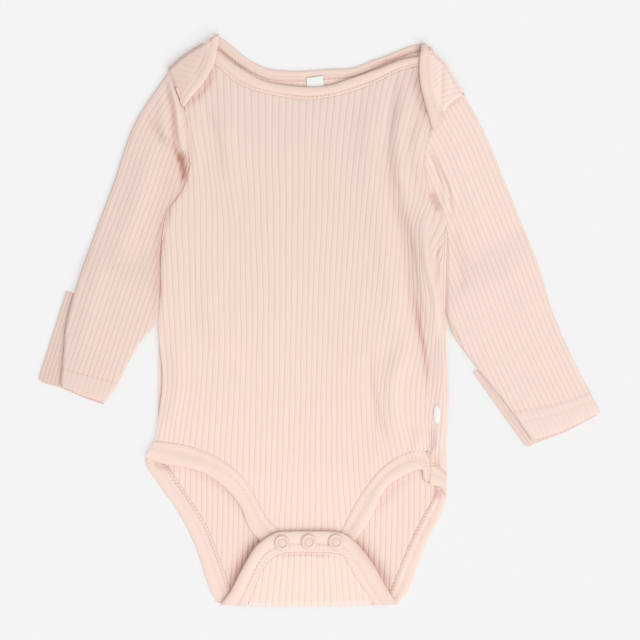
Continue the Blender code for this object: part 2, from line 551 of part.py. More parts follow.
def tube(name, outer, inner, picks, wide, look):
    """A closed tube wall from rings of outer points and rings of inner points."""
    rows, ring = outer.shape[:2]
    small = inner.shape[1]
    half = small // 2
    o = np.arange(rows * ring).reshape(rows, ring)
    i = rows * ring + np.arange(rows * small).reshape(rows, small)
    faces = []
    for grid in (o, i):
        near = np.roll(grid, -1, axis=1)
        faces += np.stack([grid[:-1], near[:-1], near[1:], grid[1:]], axis=-1).reshape(-1, 4).tolist()
    # Outer ring places that face each inner point: over the ceiling, then back under the floor.
    face_top = picks[1:-1]
    floor_start = wide + 1
    face_low = [floor_start + k for k in range(1, len(picks) - 1)]
    ahead = face_top + face_low
    for r in (0, rows - 1):
        for k in range(small):
            a, b = ahead[k], ahead[(k + 1) % small]
            stop = b if b > a else b + ring
            run = [o[r, c % ring] for c in range(a, stop + 1)]
            faces.append(run + [i[r, (k + 1) % small], i[r, k]])
    points = np.concatenate([outer.reshape(-1, 3), inner.reshape(-1, 3)])
    return finish(name, points, faces, look)


def mitten(side, plan):
    """The fold-over cuff, turned back flat under the end of the sleeve."""
    outline = np.array(plan["outline"], float)
    lines = straight_lines(plan["first"], plan["last"], plan["ribs"])
    s = np.linspace(0, plan["ribs"], 200)
    reach = np.linspace(0, 1, 200)
    u, v = lines(s, np.repeat(reach[:, None], 200, axis=1))
    used = s[inside(outline, u, v).sum(axis=0) > 8]
    ribs = (int(np.ceil(used[0])), int(np.floor(used[-1])))
    return ribbed("mitten_" + side, lines, outline, (0, 1), ribs, (0, 0.5, 1), floor, "knit_sleeve")


BINDING = ((0.0, 0.0), (0.0, 1.15), (0.05, 1.5), (0.3, 1.55), (0.37, 1.2), (0.45, 1.75),
           (0.62, 2.0), (0.86, 1.9), (0.97, 1.45), (1.0, 0.9), (0.95, 0.0))
NECK_BINDING = ((0.0, 0.0), (0.0, 1.1), (0.06, 1.5), (0.2, 1.55), (0.27, 1.15), (0.36, 1.75),
                (0.58, 2.1), (0.84, 1.95), (0.96, 1.5), (1.0, 0.95), (0.94, 0.0))
TURNED = ((0.0, 0.0), (0.0, 1.2), (0.08, 1.5), (0.4, 1.55), (0.46, 1.3), (0.56, 1.6),
          (0.84, 1.6), (0.97, 1.2), (1.0, 0.8), (0.95, 0.0))


def turned_down(fold):
    """The height of a flap's inner face, coming down to the layer below at its fold."""
    roll = rolled(fold, 3.2, 10.0)
    return lambda u, v: np.maximum(flap_base(u, v) - roll(u, v), FOLD_LIFT + 0.5)


def bindings():
    """Every bound edge, as a doubled band sewn along the edge of its panel."""
    strip("neck_binding_front", FRONT_NECK_SEAM, FRONT_NECK_EDGE, NECK_BINDING,
          front_base, 24, "binding")
    strip("neck_binding_back", BACK_NECK_SEAM, BACK_NECK_EDGE, TURNED, floor, 22, "binding")
    strip("flap_binding_left", LEFT_FLAP_SEAM, LEFT_FLAP_EDGE, NECK_BINDING,
          turned_down(LEFT_FLAP_END), 14, "binding")
    strip("flap_binding_right", RIGHT_FLAP_SEAM, RIGHT_FLAP_EDGE, NECK_BINDING,
          turned_down(RIGHT_FLAP_END), 14, "binding")
    strip("leg_binding_front_left", LEFT_LEG_SEAM, LEFT_LEG_EDGE, BINDING, front_base, 20, "binding")
    strip("leg_binding_front_right", RIGHT_LEG_HOOK + RIGHT_LEG_SEAM[2:], RIGHT_LEG_EDGE, BINDING,
          front_base, 24, "binding")
    strip("leg_binding_back_left", LEFT_BACK_LEG["seam"], LEFT_BACK_LEG["edge"], TURNED, floor, 16,
          "binding")
    strip("leg_binding_back_right", RIGHT_BACK_LEG["seam"], RIGHT_BACK_LEG["edge"], TURNED, floor,
          16, "binding")
    strip("leg_binding_side", ((431.6, 464.6), (438, 467.5), (446, 476)),
          ((430.6, 485), (437.6, 486), (446.6, 496)), BINDING, front_base, 8, "binding")
    strip("crotch_binding", FLAP_SEAM, FLAP_RIM, BINDING, crotch_base, 32, "binding")


def snaps():
    """Three ring snaps on the crotch binding, and the sockets they close on below it."""
    for number, (u, v) in enumerate(SNAP_SPOTS, 1):
        x, y, _ = to_world(u, v, 0.0)
        bpy.ops.mesh.primitive_torus_add(
            major_segments=22, minor_segments=7, major_radius=SNAP_RADIUS * MM,
            minor_radius=SNAP_WIRE * MM, location=(x, y, (SNAP_LIFT + 2.0 + GAP + 0.63) * MM))
        ring = bpy.context.object
        ring.name = f"snap_ring_{number}"
        ring.data.transform(((1, 0, 0, 0), (0, 1, 0, 0), (0, 0, 0.55, 0), (0, 0, 0, 1)))
        keep(ring, "snap")
        top = FRONT_LIFT + 2.0
        bpy.ops.mesh.primitive_cylinder_add(
            vertices=20, radius=4.0 * MM, depth=(SNAP_LIFT - top - 2 * GAP) * MM,
            location=(x, y, 0.5 * (SNAP_LIFT + top) * MM))
        socket = bpy.context.object
        socket.name = f"snap_socket_{number}"
        keep(socket, "snap")


def keep(thing, look):
    """Move a primitive into the part's collection and dress it."""
    for group in list(thing.users_collection):
        group.objects.unlink(thing)
    PARTS.objects.link(thing)
    thing.data.name = thing.name
    thing.data.shade_smooth()
    thing.data.set_sharp_from_angle(angle=0.7)
    dress(thing, look)


def labels():
    """The bare neck label and the bare oval label on the side seam."""
    slip = ((0.0, 0.0), (0.0, 0.45), (1.0, 0.45), (1.0, 0.0))
    strip("neck_label", ((306.6, 78.6), (308.8, 101)), ((322.7, 76), (325, 99)), slip,
          lambda u, v: 1.9 + 0.0 * u, 2, "label")
    u, v = 436.6, 414.0
    x, y, _ = to_world(u, v, 0.0)
    high = float(front_base(np.array(u), np.array(v))) + CLOTH + RIB + GAP
    bpy.ops.mesh.primitive_cylinder_add(vertices=24, radius=1.0, depth=0.5 * MM,
                                        location=(x, y, (high + 0.6) * MM))
    tag = bpy.context.object
    tag.name = "side_label"
    tag.data.transform(((2.1 * MM, 0, 0, 0), (0, 6.2 * MM, 0, 0), (0, 0, 1, 0), (0, 0, 0, 1)))
    keep(tag, "label")


LOOKS = dict(
    knit=((0.90, 0.71, 0.63), 0.9), knit_inside=((0.88, 0.69, 0.61), 0.9),
    knit_sleeve=((0.87, 0.68, 0.61), 0.9), binding=((0.90, 0.69, 0.61), 0.85),
    snap=((0.89, 0.68, 0.60), 0.45), label=((0.95, 0.95, 0.94), 0.7))

for old in list(bpy.data.objects):
    bpy.data.objects.remove(old)
PARTS = bpy.data.collections.new("baby_bodysuit")
bpy.context.scene.collection.children.link(PARTS)

back_panel()
side_wrap()
front_panel()
shoulder_flap("left", LEFT_FLAP_FOLD,
              closed(LEFT_FLAP_FOLD, shifted(LEFT_FLAP_SEAM, -SEAM), LEFT_FLAP_ARMHOLE),
              ((158, 28), (214, 42)), ((158, 100), (214, 114)))
shoulder_flap("right", RIGHT_FLAP_FOLD,
              closed(RIGHT_FLAP_FOLD, RIGHT_FLAP_ARMHOLE, shifted(RIGHT_FLAP_SEAM[::-1], -SEAM)),
              ((478, 54), (422, 40)), ((478, 126), (422, 112)))
crotch_flap()
for side in ("left", "right"):
    sleeve(side, SLEEVES[side])
    mitten(side, MITTENS[side])
bindings()
snaps()
labels()
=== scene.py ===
"""Baby bodysuit in rib knit, laid flat on its back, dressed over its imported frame.

Sizes are worked out on a layout grid: u counts grid steps across, v counts them down the
garment from the shoulders, and heights are millimetres above the surface it lies on.
Left and right are as seen from above, looking at the front of the garment.
"""

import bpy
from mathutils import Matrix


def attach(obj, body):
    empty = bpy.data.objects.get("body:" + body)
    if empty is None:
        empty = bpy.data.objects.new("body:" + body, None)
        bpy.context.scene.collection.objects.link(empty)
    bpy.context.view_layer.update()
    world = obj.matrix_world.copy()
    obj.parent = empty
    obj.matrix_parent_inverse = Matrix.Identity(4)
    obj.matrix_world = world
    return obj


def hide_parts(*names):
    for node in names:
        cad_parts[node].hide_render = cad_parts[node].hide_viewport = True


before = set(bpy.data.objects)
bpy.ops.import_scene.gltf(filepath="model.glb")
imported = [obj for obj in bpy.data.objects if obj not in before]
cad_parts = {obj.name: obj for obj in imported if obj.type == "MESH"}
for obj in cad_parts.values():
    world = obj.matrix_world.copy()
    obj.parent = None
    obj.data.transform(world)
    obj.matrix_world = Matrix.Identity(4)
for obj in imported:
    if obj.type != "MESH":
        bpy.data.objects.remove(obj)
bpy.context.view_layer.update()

import logging
import math
from dataclasses import dataclass
from enum import Enum
from typing import Callable, Iterable, Sequence

import bmesh
import bpy
import numpy as np

LOG = logging.getLogger("bodysuit")
Array = np.ndarray
Points = Sequence[tuple[float, float]]
Colour = tuple[float, float, float]
Height = Callable[[Array, Array], Array]
Faces = list[list[int]]

BODY = "root"
CLOTH = 1.1                # wall of one layer, mm
RIB = 0.30                 # how far a rib stands above its groove, mm
RIB_PITCH = 3.9            # width of a rib in the knit, mm
GAP = 0.3                  # clearance between two layers, mm
UNDER_PLY = 1.0            # wall of a sleeve's lower layer, mm
MITTEN_ROOM = 1.75         # how far the end of a sleeve is lifted by the mitten under it, mm
FRONT_LIFT = 1.8           # inner face of the front above the surface, mm
CROWN = 1.0                # how much the middle of the front is fuller, mm
FOLD_LIFT = CLOTH + GAP    # height where a folded-over edge meets the layer below, mm
FOLD_DEPTH = 10.0          # how far a fold would go down if no layer stopped it, mm
SNAP_LIFT = 5.0            # underside of the crotch binding where it is snapped on, mm
SNAP_SEAT = SNAP_LIFT + 2.0 + GAP   # underside of a snap, on the 2 mm crotch binding, mm
SNAP_SPOTS = ((282.0, 542.2), (308.9, 541.2), (335.9, 541.2))
LEAST_SIDE = 0.0101        # least side of a band's cut, m
WELD = 1e-7                # points nearer to each other than this are one, m
CLOTH_ANGLE = 1.1          # bend in rad over which an edge of cloth stays sharp
RIM_ANGLE = 0.9            # the same at the rims of snaps and labels
THREAD_ANGLE = 3.0         # the same for thread, which has next to no sharp edges
SIX_WAYS = np.arange(6) * math.pi / 3       # angles of the corners round a thread, rad


class Side(Enum):
    """Which half of the garment a piece belongs to, as seen from above."""

    LEFT = "left"
    RIGHT = "right"


class Slot(Enum):
    """The record's material slots."""

    KNIT = "rib_knit"
    INSIDE = "rib_knit_inside"
    BINDING = "binding"
    SNAP = "snap"
    LABEL = "label"


class Held(Enum):
    """How a piece of cloth is held."""

    LAID = "laid"
    FOLDED = "folded"
    STRETCHED = "stretched"


# ------------ layout grid and curves

@dataclass(frozen=True)
class LayoutGrid:
    """The layout grid, and how its steps and heights become metres."""

    step: float = 0.000655
    middle_u: float = 319.4
    middle_v: float = 319.9

    def world(self, u: Array, v: Array, height: Array) -> Array:
        """World points in metres.

        Args:
            u: grid steps across.
            v: grid steps down the garment.
            height: millimetres above the surface.

        Returns:
            An array with a last axis of x, y and z, where y is v turned over.
        """
        u, v, height = np.broadcast_arrays(u, v, height)
        return np.stack([(u - self.middle_u) * self.step, (self.middle_v - v) * self.step,
                         height * 0.001], axis=-1)

    def steps(self, millimetres: float) -> float:
        """Grid steps in a length in mm."""
        return millimetres * 0.001 / self.step

    def mm(self, steps: Array) -> Array:
        """Millimetres in a number of grid steps."""
        return steps * self.step * 1000.0


GRID = LayoutGrid()


def smooth_weights(x: Array, xs: Sequence[float]) -> Array:
    """Weights that read a table smoothly.

    Between two table places the value is a cubic with the table's own slopes, and past the
    ends it goes on straight.

    Args:
        x: where to read.
        xs: the table's places, rising.

    Returns:
        One row of weights for each x.
    """
    x, xs = np.atleast_1d(np.asarray(x, float)), np.asarray(xs, float)
    unit, gap = np.eye(len(xs)), np.diff(xs)
    rise = (unit[1:] - unit[:-1]) / gap[:, None]
    slope = np.empty_like(unit)
    slope[1:-1] = rise[:-1] * gap[1:, None] + rise[1:] * gap[:-1, None]
    slope[1:-1] /= (gap[:-1] + gap[1:])[:, None]
    slope[0], slope[-1] = rise[0], rise[-1]
    held = np.clip(x, xs[0], xs[-1])
    i = np.clip(np.searchsorted(xs, held, side="right") - 1, 0, len(xs) - 2)
    t, h = ((held - xs[i]) / gap[i])[:, None], gap[i][:, None]
    out = (1 + 2 * t) * (1 - t) ** 2 * unit[i] + t * (1 - t) ** 2 * h * slope[i]
    out += t * t * (3 - 2 * t) * unit[i + 1] + t * t * (t - 1) * h * slope[i + 1]
    end = np.where(x[:, None] < xs[0], slope[0], slope[-1])
    return out + (x - held)[:, None] * end


def smooth_read(x: Array, xs: Sequence[float], ys: Sequence[float]) -> Array:
    """Values of a table ys, given at xs, read smoothly at an array x of any shape."""
    x = np.asarray(x, float)
    return (smooth_weights(x.ravel(), xs) @ np.asarray(ys, float)).reshape(x.shape)


def ease(x: Array) -> Array:
    """Zero below 0, one above 1, and an S curve 3x2 - 2x3 between."""
    x = np.clip(x, 0, 1)
    return x * x * (3 - 2 * x)


def run_along(points: Array) -> Array:
    """Distance from the first point to each point, along the chords between them."""
    return np.r_[0, np.cumsum(np.linalg.norm(np.diff(points, axis=0), axis=1))]


def read_along(at: Array, run: Array, points: Array) -> Array:
    """Points at the distances at, on the chords between points whose distances are run."""
    return np.stack([np.interp(at, run, column) for column in points.T], axis=-1)


class Line:
    """A smooth curve through a few grid points."""

    def __init__(self, points: Points) -> None:
        """Keep the points that the curve passes through."""
        self.points = np.asarray(points, float)

    def even(self, count: int) -> Array:
        """Evenly spaced points on the curve, as an array of count rows."""
        run = run_along(self.points)
        fine = smooth_weights(np.linspace(0, run[-1], 500), run) @ self.points
        run = run_along(fine)
        return read_along(np.linspace(0, run[-1], count), run, fine)

    def beside(self, millimetres: float, count: int = 80) -> "Line":
        """The curve moved sideways, to its left hand for a positive distance in mm."""
        line = self.even(count)
        run = np.gradient(line, axis=0)
        run /= np.linalg.norm(run, axis=1)[:, None]
        return Line(line + GRID.steps(millimetres) * np.stack([run[:, 1], -run[:, 0]], axis=1))

    def back(self) -> "Line":
        """The same curve from its end to its start."""
        return Line(self.points[::-1])

    def length(self) -> float:
        """The curve's length in metres."""
        return float(np.linalg.norm(np.diff(self.even(200), axis=0), axis=1).sum() * GRID.step)

    def nearest(self, u: Array, v: Array, count: int = 90) -> tuple[Array, Array]:
        """Where each point's nearest place on the curve is.

        Args:
            u: grid steps across.
            v: grid steps down.
            count: how many chords stand for the curve.

        Returns:
            The share of the curve's length at that place, and the distance to it in steps.
        """
        line = self.even(count + 1)
        best = np.full(np.shape(u), 1e9)
        share = np.zeros(np.shape(u))
        for k, (p, q) in enumerate(zip(line[:-1], line[1:])):
            d = q - p
            f = np.clip(((u - p[0]) * d[0] + (v - p[1]) * d[1]) / (d @ d), 0, 1)
            away = np.hypot(u - p[0] - f * d[0], v - p[1] - f * d[1])
            share = np.where(away < best, (k + f) / count, share)
            best = np.minimum(away, best)
        return share, best


def closed(*lines: Line) -> Array:
    """One closed outline from several curves that follow each other."""
    return np.concatenate([line.even(90) for line in lines])


def inside(outline: Array, u: Array, v: Array) -> Array:
    """Whether each point lies within a closed outline, by counting the edges to its right."""
    hit = np.zeros(np.shape(u), bool)
    for (u0, v0), (u1, v1) in zip(outline, np.roll(outline, -1, axis=0)):
        if v0 != v1:
            hit ^= ((v0 > v) != (v1 > v)) & (u < (u1 - u0) * (v - v0) / (v1 - v0) + u0)
    return hit


def quarter_round(line: Line, radius: float, depth: float, u: Array, v: Array,
                  count: int = 90) -> Array:
    """How far a face goes down near a line: a quarter round of a radius and a depth, mm."""
    near = np.clip(1 - GRID.mm(line.nearest(u, v, count)[1]) / radius, 0, 1)
    return depth * (1 - np.sqrt(1 - near ** 2))


# ------------ tables of the lay

LEVELS = (60, 105, 135, 165, 200, 225, 255, 300, 340, 385, 420, 440, 550)
BODY_RIBS = {
    -24: (128, 140, 146, 152, 158, 157.5, 159.5, 162, 164.5, 167, 162, 158, 150),
    -20: (162, 170, 174, 180, 182, 181.5, 183, 184, 186, 186, 180.5, 178, 160),
    -16: (189, 193.5, 197.5, 203, 205.5, 206, 206, 207, 208, 206, 203.5, 201.5, 192),
    -14: (203, 206, 209, 212.5, 216.5, 217.5, 217, 218, 219, 217.5, 215, 214, 209),
    -12: (215.5, 217.5, 218.5, 221.5, 226.5, 229, 229, 229, 230, 228.5, 227, 225.5, 224),
    -8: (243, 244.5, 245, 246, 248.5, 249.5, 250.5, 251.5, 251.5, 250.5, 249.5, 249, 246),
    0: (300, 299, 298, 298, 298, 297.5, 297, 296.5, 295.5, 295, 294, 293.5, 289),
    8: (359, 353.5, 349.5, 346.5, 344.5, 343.5, 341.5, 339, 337.5, 336, 336, 336, 341),
    14: (402, 389.8, 385, 381, 377.5, 375.5, 373.5, 370, 366.5, 365, 366, 367, 376),
    15: (409, 395.5, 389.8, 385.6, 383, 381.5, 379, 375, 371.5, 370.5, 371, 372, 382),
    16: (416, 402, 395, 390, 388.5, 386.5, 384.5, 381, 376, 373.5, 374.5, 376, 388),
    18: (433, 414, 406, 398.8, 398.5, 397, 395, 391.5, 386, 380, 379, 383, 400),
    20: (448, 428, 418, 410.8, 407.5, 404.5, 404.5, 402.5, 397, 389, 389.5, 393.5, 411),
    22: (462, 440, 430, 423, 418, 411, 411.5, 413, 408, 399, 400, 405, 422),
    24: (475, 453, 441, 435, 428, 419, 418.5, 420.5, 418.5, 410, 410.5, 414, 433),
    26: (487, 467, 454, 446, 438, 430, 423, 429.5, 427, 421, 420, 422, 444),
    27: (491, 478, 465, 453, 446, 438, 426, 432.5, 431, 426, 424.5, 426, 449),
    28: (496, 483, 470, 459, 455, 447, 431, 435.5, 435, 432, 428, 429, 453),
    30: (505, 492, 479, 470, 470, 463, 442, 441, 441, 440.4, 434.8, 433, 460),
}
BACK_LEVELS = (44, 71, 95, 120, 145, 173, 200, 225, 300, 440, 520, 600)
BACK_RIBS = {
    -26: (152, 169.8, 178.4, 186.2, 189.8, 190.6, 177.4, 165.8, 160.6, 157.6, 155.5, 150),
    -17: (209, 203, 205, 208, 209, 209, 207.5, 207, 207, 207, 206, 202),
    0: (300, 298, 297, 297, 297, 297, 296.5, 296.5, 296.5, 296.5, 296.5, 296),
    16: (400, 396, 393, 389, 386, 386, 386, 386, 386, 386, 385.8, 383),
    27: (424, 445, 461.4, 436, 423.4, 428.4, 436, 445, 444, 446, 446.6, 441),
}

LEFT_ARMHOLE = Line(((168.4, 71), (176, 90), (183.4, 108), (187.7, 135), (191.3, 163)))
LEFT_SIDE = Line(((191, 165), (183.4, 190), (169, 211), (163, 240), (160.5, 300), (156.6, 340),
                  (157, 386), (158.3, 412), (156.5, 440)))
RIGHT_ARMHOLE = Line(((464.3, 95), (453, 103), (444, 112), (439.4, 121), (432, 129.4),
                      (426, 142), (423.8, 163), (427.5, 188), (434, 203), (446.5, 220)))
RIGHT_EDGE = Line(((447, 221), (446.5, 262), (445.6, 326), (447, 362), (448.8, 398), (447, 434),
                   (445, 458), (445.6, 472)))
FRONT_NECK_SEAM = Line(((205, 60), (215, 65), (233, 80.7), (250, 89), (283, 97), (308, 99.8),
                        (330, 97.3), (370, 85.3), (403, 70), (418, 66.7), (430, 67)))
FRONT_NECK_EDGE = Line(((209, 45), (217, 49.5), (240, 67.3), (262, 80), (291, 85.7), (308, 87),
                        (330, 85.3), (350, 78.7), (377, 69.3), (406, 58.7), (418, 56.7),
                        (429, 55.6)))
BACK_NECK_EDGE = Line(((215.4, 33.8), (230, 44), (250, 60), (266, 67.5), (291, 70.8),
                       (330, 68.7), (355, 67), (370, 61), (390, 54), (410, 46), (425, 42.6)))
BACK_NECK_SEAM = Line(((213, 43.6), (233, 60.5), (250, 72.2), (266, 79.2), (291, 81.6),
                       (330, 79.5), (355, 77), (374, 69), (394, 60.5), (410, 54), (426, 49.4)))
LEFT_FLAP_FOLD = Line(((168.6, 67.6), (177, 59.8), (189, 51), (202, 43.2), (209, 39.2)))
LEFT_FLAP_SEAM = Line(((209.4, 38.6), (206, 47), (204, 56), (200.4, 64.4), (194, 76),
                       (186.4, 87), (181.4, 94.7), (180.6, 103)))
LEFT_FLAP_EDGE = Line(((219.2, 33.4), (218.6, 44), (216.9, 54.7), (214, 65.3), (210, 73.3),
                       (203.3, 84), (194, 94.7), (184, 107.4)))
LEFT_FLAP_ARMHOLE = Line(((181.2, 103), (176.6, 90), (171.3, 76.4), (168.6, 71)))
LEFT_FLAP_END = Line(((208.6, 38.4), (214, 33.6), (220, 33)))
RIGHT_FLAP_ARMHOLE = Line(((463.8, 95), (452, 102.8), (445, 110.6), (442.6, 115.6)))
RIGHT_FLAP_FOLD = Line(((431.4, 48.4), (438, 56), (446, 64), (452.7, 76), (464, 94)))
RIGHT_FLAP_SEAM = Line(((431, 48), (430, 64), (430.6, 80), (432.6, 92), (436.2, 104),
                        (441.6, 118)))
RIGHT_FLAP_EDGE = Line(((421.6, 42.4), (419.6, 55), (418.8, 66), (419.6, 82), (423.6, 100),
                        (432.4, 131)))
RIGHT_FLAP_END = Line(((420.6, 42), (426, 42.6), (431.6, 48)))
LEFT_LEG_SEAM = Line(((155.5, 440.4), (184, 444.5), (204, 450.6), (224, 461), (245, 479),
                      (257, 499.6), (267, 518), (281.6, 533), (288, 547)))
LEFT_LEG_EDGE = Line(((145.4, 457.5), (163, 463.6), (184, 467), (204, 473), (224, 487),
                      (241, 508), (249, 528), (259.5, 540), (268, 548)))
RIGHT_LEG_SEAM = Line(((430, 452.4), (420, 449.6), (405, 452.6), (385, 465), (360, 495),
                       (343, 527), (335, 547)))
RIGHT_LEG_HOOK = Line([(429.4, 481), (430.3, 470), (429.6, 460), (427, 452), (420, 449.2),
                       (405, 452.3), *RIGHT_LEG_SEAM.points[3:]])
RIGHT_LEG_EDGE = Line(((425, 481.6), (422.4, 475), (422, 470), (416, 469.8), (405, 475),
                       (387, 487), (371, 518), (356, 540), (350, 548)))
LEFT_BACK_LEG_EDGE = Line(((147.5, 453), (145.6, 460.5), (157, 482), (174, 506), (188, 530),
                           (198, 554), (206.6, 581), (211, 592.6), (217, 603)))
LEFT_BACK_LEG_SEAM = Line(((157, 451), (161, 459.5), (170, 469.4), (184, 489.4), (196, 508),
                           (208, 528), (216.5, 549), (225, 573), (232, 592), (236, 603.6)))
RIGHT_BACK_LEG_EDGE = Line(((447, 487), (446.8, 495), (445.4, 503), (441.6, 514), (427.5, 542),
                            (418, 566), (408.4, 591), (399, 603.2)))
RIGHT_BACK_LEG_SEAM = Line(((436, 486), (433.6, 496), (424, 514), (413, 535), (402, 561),
                            (394.6, 579), (387.4, 595), (383.6, 603.4)))
FLAP_RIM = Line(((220, 604.6), (229, 593), (238, 576), (246, 561), (256.8, 544.6),
                 (265.7, 537.5), (276.4, 532), (290, 530.8), (309, 530.6), (330, 530.8),
                 (343.4, 533), (355, 541), (371, 560), (381, 577), (389, 591), (398, 604)))
FLAP_SEAM = Line(((247, 606), (254, 589), (259.5, 576), (264, 567), (273, 557),
                  (282.7, 552.7), (295, 551.6), (309, 551.6), (322, 552), (332, 552.4),
                  (341.6, 554.5), (348.8, 566), (357.7, 580.4), (364, 589), (375, 605.4)))


@dataclass(frozen=True)
class Fold:
    """A soft ridge or trough: a curve, its half width in steps and its height in mm."""

    path: Points
    width: float
    height: float

    def relief(self, u: Array, v: Array) -> Array:
        """Height in mm that the fold adds: a bell across the curve, fading at both ends."""
        share, away = Line(self.path).nearest(u, v, 14)
        ends = np.clip(np.minimum(share, 1 - share) * 4, 0, 1)
        return self.height * (0.25 + 0.75 * ends) * np.exp(-(away / self.width) ** 2)


def folds(*rows: tuple[Points, float, float]) -> tuple[Fold, ...]:
    """Folds from rows of a path, a half width and a height."""
    return tuple(Fold(*row) for row in rows)


def relief(u: Array, v: Array, lay: Iterable[Fold]) -> Array:
    """Height in mm that a set of folds adds at each point."""
    return sum((fold.relief(u, v) for fold in lay), np.zeros(np.shape(u)))


def on_path(path: Points, half: float, u: Array, v: Array) -> Array:
    """1 on a path and 0 well past a half width in steps beside it: a bell with a flat top."""
    return np.exp(-(Line(path).nearest(u, v, 14)[1] / half) ** 4)


def painted_shade(u: Array, v: Array) -> Array:
    """Painted shade where cloth faces cloth: how much darker the colour is, 0 to 1.6."""
    return np.clip(relief(u, v, PAINTED_SHADE_FOLDS), 0, 1.6)


# The table of painted shade further down is read as folds are; its last numbers say how dark.
ROLL = ((424, 222), (425, 240), (427.5, 262), (432, 280), (436, 300), (437.5, 330))
FRONT_FOLDS = folds(
    (((394, 78), (388.5, 120), (385.5, 150), (387, 168), (391, 187)), 4.5, -1.5),
    (((389, 172), (395, 196), (402, 225), (409, 260), (413.4, 293), (421, 332), (426.4, 372)),
     5.5, -2.8),
    (((406, 90), (399, 135), (400, 165), (406, 196)), 7.5, 2.7),
    (((424, 116), (416, 150), (419, 186)), 8.0, 1.8),
    (ROLL, 5.0, 3.0),
    (((419, 214), (420, 245), (425, 285), (434, 330)), 9.0, 1.8),
    (((372, 100), (368, 170), (374, 215)), 12.0, 1.3),
    (((376, 200), (386, 262), (400, 330)), 11.0, 1.3),
    (((419, 168), (426, 190), (432, 206)), 5.0, 1.4),
    (((431, 190), (437, 205), (442, 214)), 3.2, -3.4),
    (((441, 238), (438, 252), (437.2, 268), (436, 284)), 1.8, -1.6),
    (((440, 320), (441, 370), (439, 425)), 6.0, 1.0),
    (((366, 362), (373, 400), (384, 436)), 4.5, -1.3),
    (((404, 340), (392, 398), (404, 440)), 9.0, 1.8),
    (((429, 424), (432, 437), (427, 454)), 2.6, -1.3),
    (((415, 428), (418, 442), (414, 452)), 5.0, 1.0),
    (((436, 428), (438, 440), (434, 454)), 4.0, 0.9),
    (((204, 270), (214, 322), (246, 366)), 13.0, 1.1),
    (((190, 300), (206, 345), (232, 380)), 8.0, -0.6),
    (((188, 112), (194, 138), (200, 168)), 5.0, 1.2),
    (((203, 104), (213, 134), (220, 158)), 4.5, -1.1),
    (((222, 106), (228, 150), (236, 196)), 8.0, 0.9),
    (((176, 330), (178, 385), (168, 432)), 8.0, 0.8),
)
PUFF = ((168.6, 74), (173.4, 92), (177.2, 110), (178.6, 130), (182.6, 154))
SLEEVE_FOLDS = {
    Side.LEFT: folds(
        (PUFF, 4.4, 2.6),
        (((165.4, 84), (170.6, 104), (173.6, 126), (176.6, 148), (183.6, 166), (183, 184),
          (172, 208)), 3.0, -3.2),
        (((148, 112), (154, 128), (164, 142)), 5.0, -1.0),
        (((160, 100), (164, 124), (167, 150)), 5.0, 1.3),
        (((172, 205), (160, 232), (150, 262)), 6.0, -1.0),
        (((152, 150), (136, 205), (118, 262)), 11.0, 1.2),
        (((104, 250), (92, 300), (84, 345)), 9.0, 0.7),
    ),
    Side.RIGHT: folds(
        (((428, 150), (438, 168), (448, 192), (451, 214)), 2.6, -1.6),
        (((426, 160), (436, 174), (443, 200)), 2.4, -1.6),
        (((433, 152), (446, 176), (455, 206)), 4.0, 1.3),
        (((452, 226), (458, 246), (470, 262)), 4.5, -1.0),
        (((450, 254), (458, 272), (462, 290)), 4.5, -0.9),
        (((446, 128), (468, 190), (492, 246)), 11.0, 1.1),
        (((500, 250), (524, 305), (546, 356)), 10.0, 0.7),
    ),
}
# Painted shade: darker colour in hollows, creases and gaps, by path, half width and darkness.
PAINTED_SHADE_FOLDS = folds(
    (((431, 190), (435.5, 203), (441, 213)), 4.6, 0.9),
    (((430, 152), (437, 168), (443, 190)), 1.6, 0.5),
    (((441, 238), (438, 252), (437.2, 268), (436, 284)), 1.5, 0.7),
    (((437, 224), (431, 240), (430, 262)), 3.5, 0.25),
    (((450, 228), (458, 250), (466, 280)), 6.0, 0.2),
    (((444, 309), (452, 326), (463, 345)), 1.6, 0.5),
    (((388, 156), (394.5, 190), (399, 207), (408, 232), (411, 258), (413, 290), (419, 326),
      (425.6, 368)), 7.0, 0.55),
    (((417, 300), (420, 328), (424.4, 350), (426.6, 370), (428, 398)), 2.8, 0.6),
    (((372, 350), (373, 392), (382, 424), (392, 442)), 3.5, 0.2),
    (((434, 440), (440, 456), (445, 468)), 5.0, 0.25),
    (((165, 80), (168.6, 95), (172.2, 112), (173, 130), (175.6, 148), (180, 160)), 2.4, 0.75),
    (((177, 150), (181, 159), (182.8, 166), (184.2, 174), (183.4, 185)), 4.8, 1.5),
    (((181, 150), (186.4, 156), (189, 164)), 3.6, 0.4),
    (((182, 182), (175, 198), (167.6, 212), (162.4, 228), (160, 250), (158, 280), (156, 322)),
     4.6, 0.65),
    (((176, 160), (166, 200), (152, 240), (146, 290)), 9.0, 0.22),
    (((148, 114), (154, 126), (162, 136), (170, 145), (177, 154)), 4.4, 0.45),
    (((429, 428), (432, 438), (428, 452)), 2.0, 0.5),
    (((428, 452), (434, 458), (441, 468)), 3.0, 0.4),
    (((215, 68), (208.6, 84), (201.4, 94), (192, 102), (184, 110)), 3.4, 0.75),
    (((414, 66), (416.6, 84), (420, 100), (425, 114), (429, 124)), 4.4, 0.7),
    (((274, 556), (309, 554.5), (340, 557)), 1.6, 0.6),
    (((436, 488), (438, 492), (436, 500)), 4.0, 0.8),
    (((214, 47), (234, 63), (250, 72)), 3.0, 0.7),
    (((372, 66), (396, 58), (420, 50.6), (432, 47)), 2.6, 0.9),
    (((222, 602), (232, 580), (248, 552), (264, 530)), 7.0, 0.75),
    (((394, 600), (384, 576), (366, 552), (352, 530)), 7.0, 0.75),
    (((152, 462), (160, 466), (174, 470)), 4.0, 0.7),
    (((376, 512), (392, 492), (416, 474)), 4.0, 0.3),
    (((188, 470), (222, 488), (244, 514)), 4.0, 0.3),
)
